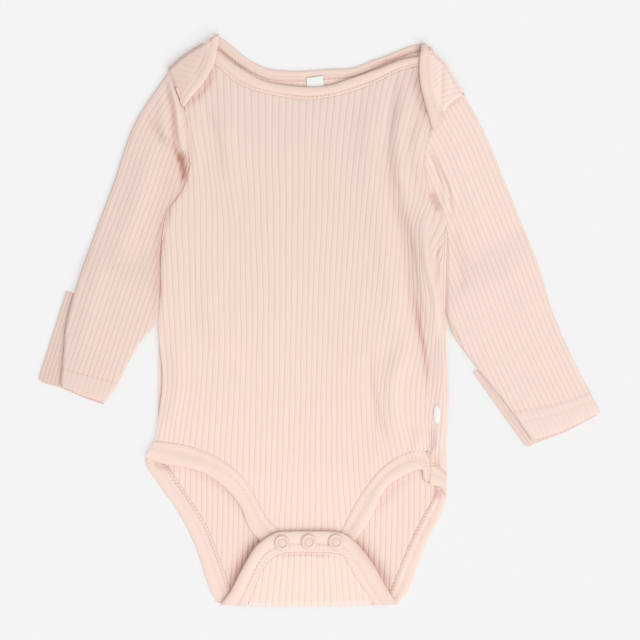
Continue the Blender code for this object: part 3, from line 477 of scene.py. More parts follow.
FLAP_FOLDS = folds(
    (((208, 47), (200.5, 64), (193.6, 79)), 2.8, -0.7),
    (((441, 62), (441, 88), (440.6, 112)), 2.2, -0.6),
    (((446, 66), (447, 84), (448, 98)), 4.0, 0.5),
)


class Lie:
    """How high each layer of the garment lies: heights in mm of its inner face."""

    @staticmethod
    def floor(u: Array, v: Array) -> Array:
        """The surface the garment lies on."""
        return 0.0 * (u + v)

    @staticmethod
    def waves(u: Array, v: Array) -> Array:
        """Gentle unevenness of laid cloth: three crossing sine waves, at most 0.2 mm."""
        return 0.07 * (np.sin(u / 19 + v / 47) + np.sin(v / 31 - u / 23 + 1.3)
                       + np.sin(u / 41 - v / 17 + 2.2))

    @staticmethod
    def front(u: Array, v: Array) -> Array:
        """The front: a flat crown that ends above the legs, with its folds, never too low."""
        levels = (60, 165, 240, 340, 440)
        left = smooth_read(v, levels, (160, 176, 163, 156, 154))
        right = smooth_read(v, levels, (470, 440, 447, 447, 446))
        across = np.clip((2 * u - left - right) / (right - left), -1, 1)
        full = CROWN * (1 - np.abs(across) ** 4) * (1 - np.clip((v - 470) / 50, 0, 1))
        rise = full + relief(u, v, FRONT_FOLDS)
        return FRONT_LIFT + 0.5 * (rise + np.sqrt(rise ** 2 + 0.04)) - 0.1 + Lie.waves(u, v)

    @staticmethod
    def flap(u: Array, v: Array) -> Array:
        """A shoulder flap, over the front and its binding."""
        return (Lie.front(u, v) + smooth_read(v, (40, 70, 95, 130), (2.5, 2.5, 2.1, 1.9))
                + relief(u, v, FLAP_FOLDS))

    @staticmethod
    def crotch(u: Array, v: Array) -> Array:
        """The crotch flap, from its fold up to the snaps."""
        return smooth_read(v, (530, 548, 565, 585, 600, 607),
                           (SNAP_LIFT, SNAP_LIFT, 4.4, 3.4, 2.8, 2.7)) + 0 * u

    @staticmethod
    def side(u: Array, v: Array) -> Array:
        """The back's edge where it comes forward beside the front."""
        return np.maximum(Lie.front(u, v), FRONT_LIFT + 0.2)

    @staticmethod
    def turned_down(end: Line, radius: float = 3.2) -> Height:
        """A flap binding's inner face, which comes down to the layer below at the fold that
        ends it, as a quarter round of a radius in mm."""
        def height(u: Array, v: Array) -> Array:
            """The flap's height less the quarter round."""
            return np.maximum(Lie.flap(u, v) - quarter_round(end, radius, FOLD_DEPTH, u, v),
                              FOLD_LIFT + 0.5)
        return height


# ------------ shader arithmetic

class Value:
    """A shader socket that can be used in arithmetic."""

    def __init__(self, tree: "Recipe", socket: bpy.types.NodeSocket) -> None:
        """Keep the socket and the recipe it belongs to."""
        self.tree, self.socket = tree, socket

    def _math(self, operation: str, *terms: "Value | float") -> "Value":
        """One Math node on this value and others, in the order given."""
        return self.tree.node("ShaderNodeMath", {"operation": operation},
                              dict(enumerate(terms)))

    def __add__(self, other: "Value | float") -> "Value":
        """Sum."""
        return self._math("ADD", self, other)

    def __sub__(self, other: "Value | float") -> "Value":
        """Difference."""
        return self._math("SUBTRACT", self, other)

    def __rsub__(self, other: float) -> "Value":
        """Difference from a number."""
        return self._math("SUBTRACT", other, self)

    def __mul__(self, other: "Value | float") -> "Value":
        """Product."""
        return self._math("MULTIPLY", self, other)

    __radd__, __rmul__ = __add__, __mul__

    def part(self) -> "Value":
        """What is left after the whole number below."""
        return self._math("FRACT", self)

    def size(self) -> "Value":
        """Absolute value."""
        return self._math("ABSOLUTE", self)

    def sine(self) -> "Value":
        """Sine, in radians."""
        return self._math("SINE", self)


class Recipe:
    """One material's nodes, with one method that adds any node."""

    def __init__(self, name: str) -> None:
        """Start an empty material with its output."""
        self.material = bpy.data.materials.new(name)
        self.material.use_nodes = True
        self.nodes = self.material.node_tree.nodes
        self.nodes.clear()

    def node(self, kind: str, settings: dict | None = None, inputs: dict | None = None,
             output: int | str = 0) -> Value:
        """Add a node.

        Args:
            kind: the node's type name.
            settings: its properties, set first; "stops" are a colour ramp's places and colours.
            inputs: values or links, by socket name or number.
            output: the socket to hand back.

        Returns:
            The chosen output.
        """
        node = self.nodes.new(kind)
        for key, value in (settings or {}).items():
            if key == "stops":
                for element, (place, colour) in zip(node.color_ramp.elements, value):
                    element.position, element.color = place, (*colour, 1)
            else:
                setattr(node, key, value)
        for key, value in (inputs or {}).items():
            socket = node.inputs[key]
            if isinstance(value, Value):
                self.material.node_tree.links.new(value.socket, socket)
            elif socket.type == "RGBA" and len(value) == 3:
                socket.default_value = (*value, 1)
            else:
                socket.default_value = value
        return Value(self, node.outputs[output])

    def mix(self, factor: Value | float, first: Value | Colour, second: Value | Colour,
            blend: str = "MIX") -> Value:
        """Mix two colours by a factor."""
        return self.node("ShaderNodeMix", {"data_type": "RGBA", "blend_type": blend},
                         {0: factor, 6: first, 7: second}, 2)

    def noise(self, scale: float, detail: float = 2.0, seed: float = 0.0) -> Value:
        """Noise between 0 and 1 on the piece's own coordinates."""
        place = self.node("ShaderNodeTexCoord", output="Object")
        return self.node("ShaderNodeTexNoise", {"noise_dimensions": "4D"},
                         {"Vector": place, "W": seed, "Scale": scale, "Detail": detail}, 0)

    def axis(self, place: Value, number: int) -> Value:
        """One coordinate of a place: 0 is x and 1 is y."""
        return self.node("ShaderNodeSeparateXYZ", None, {0: place}, number)

    def bump(self, strength: float, distance: float, height: Value) -> Value:
        """A surface bumped by a height, which is 1 at the distance in metres."""
        return self.node("ShaderNodeBump", None,
                         {"Strength": strength, "Distance": distance, "Height": height})

    def close(self, **inputs: "Value | float | Colour") -> bpy.types.Material:
        """Finish with a Principled shader; underscores in names stand for spaces."""
        shader = self.node("ShaderNodeBsdfPrincipled", None,
                           {key.replace("_", " "): value for key, value in inputs.items()})
        out = self.nodes.new("ShaderNodeOutputMaterial")
        self.material.node_tree.links.new(shader.socket, out.inputs["Surface"])
        return self.material


def dimmed(colour: Colour, share: float) -> Colour:
    """A colour with each channel times a share."""
    return tuple(share * channel for channel in colour)


@dataclass(frozen=True)
class Finish:
    """How a surface looks."""

    name: str

    def compose(self, recipe: Recipe) -> bpy.types.Material:
        """Put the finish's nodes into an empty recipe."""
        raise NotImplementedError

    def material(self) -> bpy.types.Material:
        """The finish as a material, made once."""
        return bpy.data.materials.get(self.name) or self.compose(Recipe(self.name))


@dataclass(frozen=True)
class KnitFinish(Finish):
    """Soft cotton rib knit: loops in wales and courses, with painted shade in the grooves.

    The crest mark mixes in painted shade: 1 is a crest, 0 a groove, -1 a deep fold and -2 a pit.
    """

    crest: Colour
    # groove, deep and pit are colours of painted shade: in grooves, deep folds and pits.
    groove: Colour
    deep: Colour = (0.74, 0.475, 0.405)
    pit: Colour = (0.47, 0.25, 0.20)
    roughness: float = 0.86
    sheen: float = 0.12
    wale: float = 0.78          # width of one column of loops, mm
    course: float = 0.62        # height of one row of loops, mm
    loop: float = 0.00004       # height of a loop, m
    mottle: float = 0.03        # share of unevenness in the dye
    painted_falloff: float = 0.0           # painted light: how much paler further down the garment, 1/m
    line: float = 0.0           # painted shade of a fine line mid-rib, depth as a share of crest

    def compose(self, recipe: Recipe) -> bpy.types.Material:
        """Loop and fibre bumps; painted shade by crest mark, tone by cloud, painted light by
        height.
        """
        place = recipe.node("ShaderNodeUVMap", {"uv_map": "knit"})
        across, along = recipe.axis(place, 0), recipe.axis(place, 1)
        high = recipe.node("ShaderNodeAttribute", {"attribute_name": "crest"}, output="Fac")
        lean = ((across * (1 / self.wale)).part() - 0.5).size() * 2.0
        loops = ((along * (1 / self.course) + lean * 0.5) * (2 * math.pi)).sine()
        stands = (loops * 0.35 + 0.65) * (1 - lean * lean * 0.8)
        cloud = recipe.noise(70.0, 3.0, 1.0)
        fibre = recipe.noise(2600.0, 2.0, 2.0)
        # Painted shade: a fine dark line down the middle of each rib.
        if self.line:
            off = ((across * (1 / RIB_PITCH)).part() - 0.5).size() * 14.0
            fine = recipe.node("ShaderNodeMath", {"operation": "SUBTRACT", "use_clamp": True},
                               {0: 1.0, 1: off})
            high = high - fine * self.line
        # Painted shade: the groove colour in grooves and the deep colour in folds, by crest
        # mark.
        colour_with_painted_shade = recipe.mix(high * -1.0, recipe.mix(high, self.groove, self.crest), self.deep)
        # Painted light: the colour grows paler further down the garment.
        down = recipe.axis(recipe.node("ShaderNodeTexCoord", output="Object"), 1) * -self.painted_falloff
        # Painted shade: the pit colour where the crest mark falls below -1.
        colour_with_painted_shade = recipe.mix((high + 1.0) * -0.8, colour_with_painted_shade, self.pit)
        # Random tone from cloud and fibre, times the painted light that grows paler further
        # down.
        shade = cloud * self.mottle + fibre * (2 * self.mottle) + down + (1 - 2 * self.mottle)
        shade_rgb = recipe.node("ShaderNodeCombineColor", None, {0: shade, 1: shade, 2: shade})
        colour = recipe.mix(1.0, colour_with_painted_shade, shade_rgb, "MULTIPLY")
        bump = recipe.bump(0.6, self.loop, stands + fibre * 0.6)
        return recipe.close(Base_Color=colour, Roughness=self.roughness, Normal=bump,
                            Specular_IOR_Level=0.2, Sheen_Weight=self.sheen,
                            Sheen_Roughness=0.5, Sheen_Tint=(1.0, 0.95, 0.92, 1.0))


@dataclass(frozen=True)
class ThreadFinish(Finish):
    """Matt spun sewing thread."""

    colour: Colour

    def compose(self, recipe: Recipe) -> bpy.types.Material:
        """Fine fibre in colour and bump."""
        fibre = recipe.noise(5200.0, 2.0, 4.0)
        bump = recipe.bump(0.5, 0.00003, fibre)
        colour = recipe.mix(fibre, self.colour, dimmed(self.colour, 0.93))
        return recipe.close(Base_Color=colour, Roughness=0.8, Normal=bump,
                            Specular_IOR_Level=0.25, Sheen_Weight=0.1)


@dataclass(frozen=True)
class EnamelFinish(Finish):
    """Enamelled snap metal in the colour of the cloth."""

    colour: Colour

    def compose(self, recipe: Recipe) -> bpy.types.Material:
        """Faint specks in colour, gloss and bump, under a thin coat."""
        speck = recipe.noise(900.0, 3.0, 5.0)
        colour = recipe.mix(speck, self.colour, dimmed(self.colour, 0.95))
        bump = recipe.bump(0.15, 0.00002, speck)
        return recipe.close(Base_Color=colour, Roughness=speck * 0.1 + 0.34, Normal=bump,
                            Specular_IOR_Level=0.45, Coat_Weight=0.15, Coat_Roughness=0.25)


@dataclass(frozen=True)
class SatinFinish(Finish):
    """Smooth white satin ribbon, finely woven and bare."""

    colour: Colour
    weft: float = 0.00035       # distance between two threads of the weave, m

    def compose(self, recipe: Recipe) -> bpy.types.Material:
        """Rows of weft and fine fibre in colour, gloss and bump."""
        rows = recipe.axis(recipe.node("ShaderNodeTexCoord", output="Object"), 1)
        weave = (rows * (2 * math.pi / self.weft)).sine() * 0.5 + 0.5
        fibre = recipe.noise(3800.0, 2.0, 6.0)
        colour = recipe.mix(weave * 0.5 + fibre * 0.5, dimmed(self.colour, 0.965), self.colour)
        bump = recipe.bump(0.4, 0.00003, weave + fibre)
        return recipe.close(Base_Color=colour, Roughness=0.42 + fibre * 0.1, Normal=bump,
                            Specular_IOR_Level=0.4, Sheen_Weight=0.15)


@dataclass(frozen=True)
class PaperFinish(Finish):
    """The pale matt floor, lit a little from below like a light table."""

    colour: Colour
    glow: float = 0.0

    def compose(self, recipe: Recipe) -> bpy.types.Material:
        """A faint grain, and the glow."""
        grain = recipe.noise(300.0, 2.0, 7.0)
        colour = recipe.mix(grain, dimmed(self.colour, 0.998), self.colour)
        return recipe.close(Base_Color=colour, Roughness=1.0, Specular_IOR_Level=0.0,
                            Emission_Color=(1.0, 1.0, 1.0, 1.0), Emission_Strength=self.glow)


# Painted light: KNIT and BAND_KNIT grow paler further down the garment.
KNIT = KnitFinish("rib knit", (0.915, 0.725, 0.645), (0.855, 0.65, 0.58), painted_falloff=0.45,
                  line=0.3)
# A darker copy of the knit, painted shade, for the left sleeve and the right mitten.
HALF_SHADE_KNIT = KnitFinish("rib knit in painted half shade", (0.865, 0.68, 0.607),
                       (0.80, 0.605, 0.535), line=0.2)
# A lighter copy of the knit, painted light, for the right sleeve and the right flap.
LIT_KNIT = KnitFinish("rib knit in painted light", (0.94, 0.745, 0.67),
                        (0.845, 0.635, 0.565), line=0.25)
# The darkest copy of the knit, painted shade, for the left flap and the left mitten.
SHADE_KNIT = KnitFinish("rib knit in painted shade", (0.80, 0.62, 0.55), (0.755, 0.567, 0.5))
INSIDE_KNIT = KnitFinish("rib knit inside", (0.97, 0.755, 0.67), (0.90, 0.67, 0.59), line=0.2)
BAND_KNIT = KnitFinish("band knit", (0.915, 0.715, 0.635), (0.85, 0.635, 0.565), wale=0.55,
                       course=0.5, loop=0.00003, mottle=0.025, painted_falloff=0.3)
THREAD = ThreadFinish("sewing thread", (0.95, 0.75, 0.67))
DEEP_THREAD = ThreadFinish("zigzag thread", (0.79, 0.53, 0.46))
OVERLOCK = ThreadFinish("overlock thread", (0.90, 0.68, 0.60))
ENAMEL = EnamelFinish("snap enamel", (0.90, 0.70, 0.62))
SATIN = SatinFinish("label satin", (0.90, 0.91, 0.885))
PAPER = PaperFinish("floor paper", (0.45, 0.45, 0.45), 0.448)


# ------------ cloth meshes

@dataclass
class Skin:
    """One face of a cloth: its points, and the knit's own places there.

    across and along are millimetres in the knit, and crest is 1 on a rib and 0 in a groove.
    All are arrays with the same rows and columns.
    """

    points: Array
    across: Array
    along: Array
    crest: Array


def quads(grid: Array, ring: bool = False) -> Faces:
    """Faces of a grid of point numbers; a ring also joins its last column to its first."""
    near = np.roll(grid, -1, axis=1)
    if not ring:
        grid, near = grid[:, :-1], near[:, :-1]
    return np.stack([grid[:-1], near[:-1], near[1:], grid[1:]], axis=-1).reshape(-1, 4).tolist()


def tube(rings: int, around: int) -> Faces:
    """Faces of a tube whose points are numbered ring by ring, with a face over each end."""
    n = np.arange(rings * around).reshape(rings, around)
    return quads(n, True) + [n[0].tolist(), n[-1].tolist()]


def mesh_piece(name: str, points: Array, faces: Faces, knit: Array | None = None,
               crest: Array | None = None, sharp: float = CLOTH_ANGLE) -> bpy.types.Object:
    """A closed mesh object with outward faces.

    Args:
        name: the piece's name.
        points: its points, in metres.
        faces: point numbers of each face.
        knit: places in the knit for each point, mm across and along.
        crest: 1 on a rib and 0 in a groove, for each point.
        sharp: angle in radians over which an edge is sharp.

    Returns:
        The object, linked into the scene.
    """
    mesh = bpy.data.meshes.new(name)
    mesh.from_pydata(np.asarray(points, float).reshape(-1, 3), [], faces)
    if knit is not None:
        corner = np.empty(len(mesh.loops), np.int32)
        mesh.loops.foreach_get("vertex_index", corner)
        layer = mesh.uv_layers.new(name="knit")
        layer.uv.foreach_set("vector", knit.reshape(-1, 2)[corner].astype(np.float32).ravel())
    if crest is not None:
        mark = mesh.attributes.new("crest", "FLOAT", "POINT")
        mark.data.foreach_set("value", np.asarray(crest, np.float32).ravel())
    shape = bmesh.new()
    shape.from_mesh(mesh)
    bmesh.ops.remove_doubles(shape, verts=shape.verts, dist=WELD)
    bmesh.ops.recalc_face_normals(shape, faces=shape.faces)
    shape.to_mesh(mesh)
    shape.free()
    mesh.shade_smooth()
    mesh.set_sharp_from_angle(angle=sharp)
    piece = bpy.data.objects.new(name, mesh)
    bpy.context.scene.collection.objects.link(piece)
    return piece


def both(first: Skin, second: Skin) -> tuple[Array, Array, Array]:
    """Points, knit places and crest marks of two skins, one after the other."""
    points = np.concatenate([s.points.reshape(-1, 3) for s in (first, second)])
    knit = np.concatenate([np.stack([s.across, s.along], axis=-1).reshape(-1, 2)
                           for s in (first, second)])
    crest = np.concatenate([s.crest.ravel() for s in (first, second)])
    return points, knit, crest


def wall(name: str, top: Skin, low: Skin, picks: Sequence[int]) -> bpy.types.Object:
    """A closed wall between a face and a plainer face under it.

    Args:
        name: the piece's name.
        top: the finer face.
        low: the plainer face, with the same rows.
        picks: which column of the finer face each column of the plainer one is under.

    Returns:
        The wall as an object.
    """
    rows, wide = top.points.shape[:2]
    slim = low.points.shape[1]
    o = np.arange(rows * wide).reshape(rows, wide)
    i = rows * wide + np.arange(rows * slim).reshape(rows, slim)
    faces = quads(o) + quads(i)
    for r in (0, rows - 1):
        faces += [o[r, picks[k]:picks[k + 1] + 1].tolist() + [i[r, k + 1], i[r, k]]
                  for k in range(slim - 1)]
    for c, k in ((0, 0), (wide - 1, slim - 1)):
        faces += np.stack([o[:-1, c], o[1:, c], i[1:, k], i[:-1, k]], axis=-1).tolist()
    points, knit, crest = both(top, low)
    return mesh_piece(name, points, faces, knit, crest)


def pipe(name: str, outer: Skin, inner: Skin, facing: Sequence[int]) -> bpy.types.Object:
    """A closed pipe wall from rings of outer points and rings of inner points.

    Args:
        name: the piece's name.
        outer: the outer rings, one a row.
        inner: the inner rings, one a row, with fewer points.
        facing: the outer ring's place that faces each inner point.

    Returns:
        The pipe as an object.
    """
    rows, ring = outer.points.shape[:2]
    small = inner.points.shape[1]
    o = np.arange(rows * ring).reshape(rows, ring)
    i = rows * ring + np.arange(rows * small).reshape(rows, small)
    faces = quads(o, True) + quads(i, True)
    for r in (0, rows - 1):
        for k in range(small):
            a, b = facing[k], facing[(k + 1) % small]
            stop = b if b > a else b + ring
            run = [o[r, c % ring] for c in range(a, stop + 1)]
            faces.append(run + [i[r, (k + 1) % small], i[r, k]])
    points, knit, crest = both(outer, inner)
    return mesh_piece(name, points, faces, knit, crest)


@dataclass(frozen=True)
class RibProfile:
    """The section across one rib: a wide flat crest beside a narrow groove."""

    groove: float = 0.10        # half width of the groove, as a share of the pitch
    places: tuple[float, ...] = (0.0, 0.06, 0.13, 0.25, 0.5, 0.75, 0.87, 0.94)

    def crest(self, share: Array) -> Array:
        """0 at the bottom of a groove and 1 on the crest: one less a bell round the groove."""
        from_groove = 0.5 - np.abs(np.mod(share, 1.0) - 0.5)
        return 1 - np.exp(-(from_groove / self.groove) ** 2)

    def height(self, share: Array) -> Array:
        """Height in mm over the groove, with a slightly round crest."""
        return RIB * self.crest(share) * (0.86 + 0.14 * np.sin(np.pi * np.mod(share, 1.0)))


PROFILE = RibProfile()
TIP_ROWS = (0.0, 0.14, 0.33, 0.6, 1.0)      # where a rib's end has its rows, share of its tip
SCAN_LEVELS = 420       # levels at which a rib is first tested against its outline
HALVINGS = 9            # how often the bracket round a rib's end is halved


@dataclass
class Piece:
    """A piece of the garment: a mesh that stands for its solid and has its finish."""

    name: str
    node: str
    finish: Finish
    slot: Slot

    def shape(self) -> bpy.types.Object:
        """Build the piece's mesh object."""
        raise NotImplementedError

    def make(self) -> bpy.types.Object:
        """Build the piece, dress it, put it on its body and report it."""
        piece = self.shape()
        piece.data.materials.append(self.finish.material())
        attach(piece, BODY)
        if self.node:
            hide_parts(self.node)
        triangles = sum(len(p.vertices) - 2 for p in piece.data.polygons)
        LOG.info("%s: %d triangles", self.name, triangles)
        return piece


@dataclass
class ClothPiece(Piece):
    """A piece of cloth with the size it was cut to."""

    flat: tuple[float, float] = (0.1, 0.1)
    held: Held = Held.LAID
    area: float | None = None
    rests_on: tuple[str, ...] = ()

    def make(self) -> bpy.types.Object:
        """Build the cloth."""
        piece = super().make()
        return piece


@dataclass(kw_only=True)
class RibbedCloth(ClothPiece):
    """Ribbed cloth whose ribs follow guide lines and end at an outline."""

    ribs: tuple[int, int]       # numbers of the first and last rib
    rows: int                   # rows between a rib's two tips
    span: tuple[float, float] = (0.0, 1.0)      # levels that the ribs run through
    underside: bool = False     # whether the lower face has ribs as well
    tip: float = 3.6            # levels at each end of a rib that have finer rows

    def lines(self, s: Array, level: Array) -> tuple[Array, Array]:
        """Grid positions of ribs s at the given levels."""
        raise NotImplementedError

    def outline(self) -> Array:
        """The closed outline of the piece, on the grid."""
        raise NotImplementedError

    def base(self, u: Array, v: Array) -> Array:
        """Height in mm of the lower face: on the surface, unless a piece says otherwise."""
        return Lie.floor(u, v)

    def drop(self, u: Array, v: Array) -> Array:
        """How far both faces go down near an edge, in mm."""
        return 0.0 * (u + v)

    def ribs_shown(self, u: Array, v: Array) -> Array:
        """Share of the ribs' height that shows on the upper face."""
        return 1.0 + 0.0 * (u + v)

    def limits(self, s: Array) -> tuple[Array, Array]:
        """Start and end level of each rib line inside the outline, by halving a bracket."""
        outline = self.outline()
        fine = np.linspace(*self.span, SCAN_LEVELS)
        hit = inside(outline, *self.lines(s, np.repeat(fine[:, None], len(s), axis=1)))
        ends = []
        for column in hit.T:
            jumps = np.flatnonzero(np.diff(np.r_[False, column, False].astype(int)))
            runs = np.r_[jumps, 0, 1].reshape(-1, 2)
            first, last = runs[np.argmax(runs[:, 1] - runs[:, 0])]
            ends.append((first, last - 1))
        first, last = np.array(ends).T
        limits = []
        for index, step in ((first, -1), (last, 1)):
            within = fine[index]
            beyond = fine[np.clip(index + step, 0, len(fine) - 1)]
            for _ in range(HALVINGS):
                middle = 0.5 * (within + beyond)
                hit = inside(outline, *(a[0] for a in self.lines(s, middle[None])))
                within, beyond = np.where(hit, middle, within), np.where(hit, beyond, middle)
            limits.append(within)
        return limits[0], limits[1]

    def skin(self, s: Array, u: Array, v: Array, height: Array, shown: Array) -> Skin:
        """A face of the cloth at the given heights, with the share of its ribs that show."""
        points = GRID.world(u, v, height)
        run = np.linalg.norm(np.diff(points, axis=0), axis=2)
        along = np.concatenate([np.zeros((1, len(s))), np.cumsum(run, axis=0)]) * 1000
        middle = along.shape[0] // 2
        along = along - along[middle:middle + 1] + GRID.mm(v[middle:middle + 1])
        # Crest marks carry painted shade: groove colour in the grooves, deeper colour where
        # cloth faces cloth.
        return Skin(points, np.broadcast_to(s * RIB_PITCH, u.shape), along,
                    1 - (1 - PROFILE.crest(s)) * shown - 2 * painted_shade(u, v))

    def shape(self) -> bpy.types.Object:
        """A wall with ribs above, and below if the underside has them.

        Its rows are even levels, held back within each rib's own ends. A rib too short for
        its two tips is left out.
        """
        s = np.array([k + c for k in range(*self.ribs) for c in PROFILE.places]
                     + [self.ribs[1]], float)
        first, last = self.limits(s)
        kept = last - first > 2.1 * self.tip
        s, first, last = s[kept], first[kept], last[kept]
        near = self.tip * np.array(TIP_ROWS)[:, None]
        even = np.linspace(first.min(), last.max(), self.rows)[:, None]
        level = np.concatenate([first + near, np.clip(even, first + self.tip, last - self.tip),
                                last - near[::-1]])
        u, v = self.lines(s, level)
        drop = self.drop(u, v)
        under = self.base(u, v) - drop
        shown = self.ribs_shown(u, v)
        high = RIB - (RIB - PROFILE.height(s)) * shown
        top = self.skin(s, u, v, under + CLOTH + high, shown)
        places = (0.0, 0.13, 0.5, 0.87) if self.underside else (0.0,)
        lower = under + 0.6 * (RIB - PROFILE.height(s)) if self.underside else under
        picks = [k for k in range(len(s)) if k in (0, len(s) - 1)
                 or np.isclose(np.mod(s[k], 1.0), places).any()]
        low = self.skin(s[picks], u[:, picks], v[:, picks], lower[:, picks], shown[:, picks])
        return wall(self.name, top, low, picks)


def guided(ribs: dict[float, Sequence[float]], levels: Sequence[float], s: Array,
           level: Array) -> tuple[Array, Array]:
    """Grid positions of ribs s at levels, read smoothly from a table of chosen ribs."""
    numbers = sorted(ribs)
    by_rib = smooth_weights(s, numbers) @ np.array([ribs[k] for k in numbers], float)
    u = np.stack([smooth_weights(lv, levels) @ row for lv, row in zip(level.T, by_rib)], axis=1)
    return u, level


def last_rib(levels: Iterable[float]) -> list[tuple[float, float]]:
    """Grid points of the front's last rib, number 30, at some levels."""
    u, v = guided(BODY_RIBS, LEVELS, np.array([30.0]), np.array(list(levels), float)[:, None])
    return list(zip(u[:, 0].tolist(), v[:, 0].tolist()))


RIGHT_SEAM = Line([(446.5, 220), (445, 232)] + last_rib(range(255, 446, 10)) + [(430.8, 452)])


def between(first: Points, last: Points, count: int, s: Array,
            level: Array) -> tuple[Array, Array]:
    """Grid positions of straight ribs spread evenly between two end ribs."""
    start, end = np.array(first, float), np.array(last, float)
    share = np.broadcast_to(s / count, level.shape)[..., None]
    a = start[0] + (end[0] - start[0]) * share
    b = start[1] + (end[1] - start[1]) * share
    at = a + (b - a) * level[..., None]
    return at[..., 0], at[..., 1]


# ------------ the panels

@dataclass
class FrontPanel(RibbedCloth):
    """The front, ribbed down its length, from the neck seam to the tab under the snaps."""

    edge_dip: float = 0.25      # how far the cloth goes down into its seams, mm

    def lines(self, s: Array, level: Array) -> tuple[Array, Array]:
        """Ribs from the table, wandering by less than half a step, and not at the right
        seam."""
        u, v = guided(BODY_RIBS, LEVELS, s, level)
        wander = 0.22 * np.sin(v / 21 + 0.9 * s) + 0.15 * np.sin(v / 9 + 2.3 * s)
        return u + wander * np.clip((30 - s) / 3, 0, 1), v

    def outline(self) -> Array:
        """Neck seam, right armhole, side seam (left of which the last rib lies), leg seams,
        left side and left armhole."""
        side = Line(np.vstack([RIGHT_SEAM.points[:2], ((443.6, 246),),
                               RIGHT_SEAM.points[2:] + (2, 0)]))
        return closed(
            Line(FRONT_NECK_SEAM.points[:-1]), Line(((424, 67), (428, 84), (434, 103))),
            Line(RIGHT_ARMHOLE.points[4:]), side, RIGHT_LEG_SEAM,
            Line(((334, 548), (289, 548))), LEFT_LEG_SEAM.back(), LEFT_SIDE.back(),
            LEFT_ARMHOLE.back(), Line(((171, 74), (188, 64), (204, 60))))

    def base(self, u: Array, v: Array) -> Array:
        """The front's own height."""
        return Lie.front(u, v)

    def ribs_shown(self, u: Array, v: Array) -> Array:
        """All of them but on the stretched roll beside the right seam, where they are
        pulled nearly flat."""
        return 1 - 0.85 * on_path(ROLL, 4.5, u, v)

    def drop(self, u: Array, v: Array) -> Array:
        """Down round the folded left side, and a little into the other seams."""
        side = quarter_round(Line(LEFT_SIDE.points[2:]), 2.4, 1.1, u, v)
        seams = [quarter_round(line, 1.5, self.edge_dip, u, v)
                 for line in (LEFT_ARMHOLE, RIGHT_ARMHOLE)]
        seams += [quarter_round(line, 1.0, 0.2, u, v)
                  for line in (FRONT_NECK_SEAM, LEFT_LEG_SEAM, RIGHT_LEG_SEAM, RIGHT_SEAM)]
        return np.minimum(np.maximum.reduce([side, *seams]), Lie.front(u, v) - FOLD_LIFT)


@dataclass
class BackPanel(RibbedCloth):
    """The back, flat on the surface, ribbed on both faces."""

    def lines(self, s: Array, level: Array) -> tuple[Array, Array]:
        """Ribs from the table."""
        return guided(BACK_RIBS, BACK_LEVELS, s, level)

    def outline(self) -> Array:
        """Neck seam, right shoulder, side, leg seams, tip, and the left side."""
        return closed(
            BACK_NECK_SEAM, Line(((428, 52), (440, 61), (450, 75), (463, 95))),
            Line(((475, 100), (475, 478), (433.4, 483))), RIGHT_BACK_LEG_SEAM,
            Line(((385, 603.4), (235, 603.4))), LEFT_BACK_LEG_SEAM.back(),
            Line(((157, 452), (130, 440))), Line(((130, 240), (130, 72))),
            Line(((168, 72), (181, 60), (191, 53), (201, 47), (212, 44))))

    def ribs_shown(self, u: Array, v: Array) -> Array:
        """All of them, a little lower where the layers above press them."""
        return 0.5 + 0.5 * ease((v - 430) / 40)


@dataclass(kw_only=True)
class ShoulderFlap(RibbedCloth):
    """A shoulder of the back, folded forward over the front."""

    side: Side

    def lines(self, s: Array, level: Array) -> tuple[Array, Array]:
        """Nearly level ribs, which turn down at the right flap's crease."""
        if self.side is Side.LEFT:
            return between(((158, 28), (214, 42)), ((158, 100), (214, 114)), 12, s, level)
        u = 478 - 56 * level
        past = 0.5 * (441 - u + np.sqrt((441 - u) ** 2 + 4))
        return u, 26 + 5.6 * s + 0.25 * (478 - u) + 0.6 * past

    def ribs_shown(self, u: Array, v: Array) -> Array:
        """Lower, as the doubled cloth is stretched there, and least beside the right tip."""
        return 0.5 * (1 - 0.85 * ease((v - 85) / 5) * ease((441 - u) / 3) * (u > 320))

    def fold(self) -> Line:
        """The shoulder fold."""
        return LEFT_FLAP_FOLD if self.side is Side.LEFT else RIGHT_FLAP_FOLD

    def outline(self) -> Array:
        """Fold, binding seam and armhole."""
        if self.side is Side.LEFT:
            return closed(LEFT_FLAP_FOLD, LEFT_FLAP_SEAM, LEFT_FLAP_ARMHOLE)
        return closed(RIGHT_FLAP_FOLD, RIGHT_FLAP_ARMHOLE, RIGHT_FLAP_SEAM.back())

    def base(self, u: Array, v: Array) -> Array:
        """Over the front and its binding."""
        return Lie.flap(u, v)

    def drop(self, u: Array, v: Array) -> Array:
        """Down round the fold and into the armhole."""
        fold = quarter_round(self.fold(), 2.6, FOLD_DEPTH, u, v)
        arm = LEFT_FLAP_ARMHOLE if self.side is Side.LEFT else RIGHT_FLAP_ARMHOLE
        seam = quarter_round(arm, 2.4, 1.9, u, v)
        return np.minimum(np.maximum(fold, seam), Lie.flap(u, v) - FOLD_LIFT - 0.6)


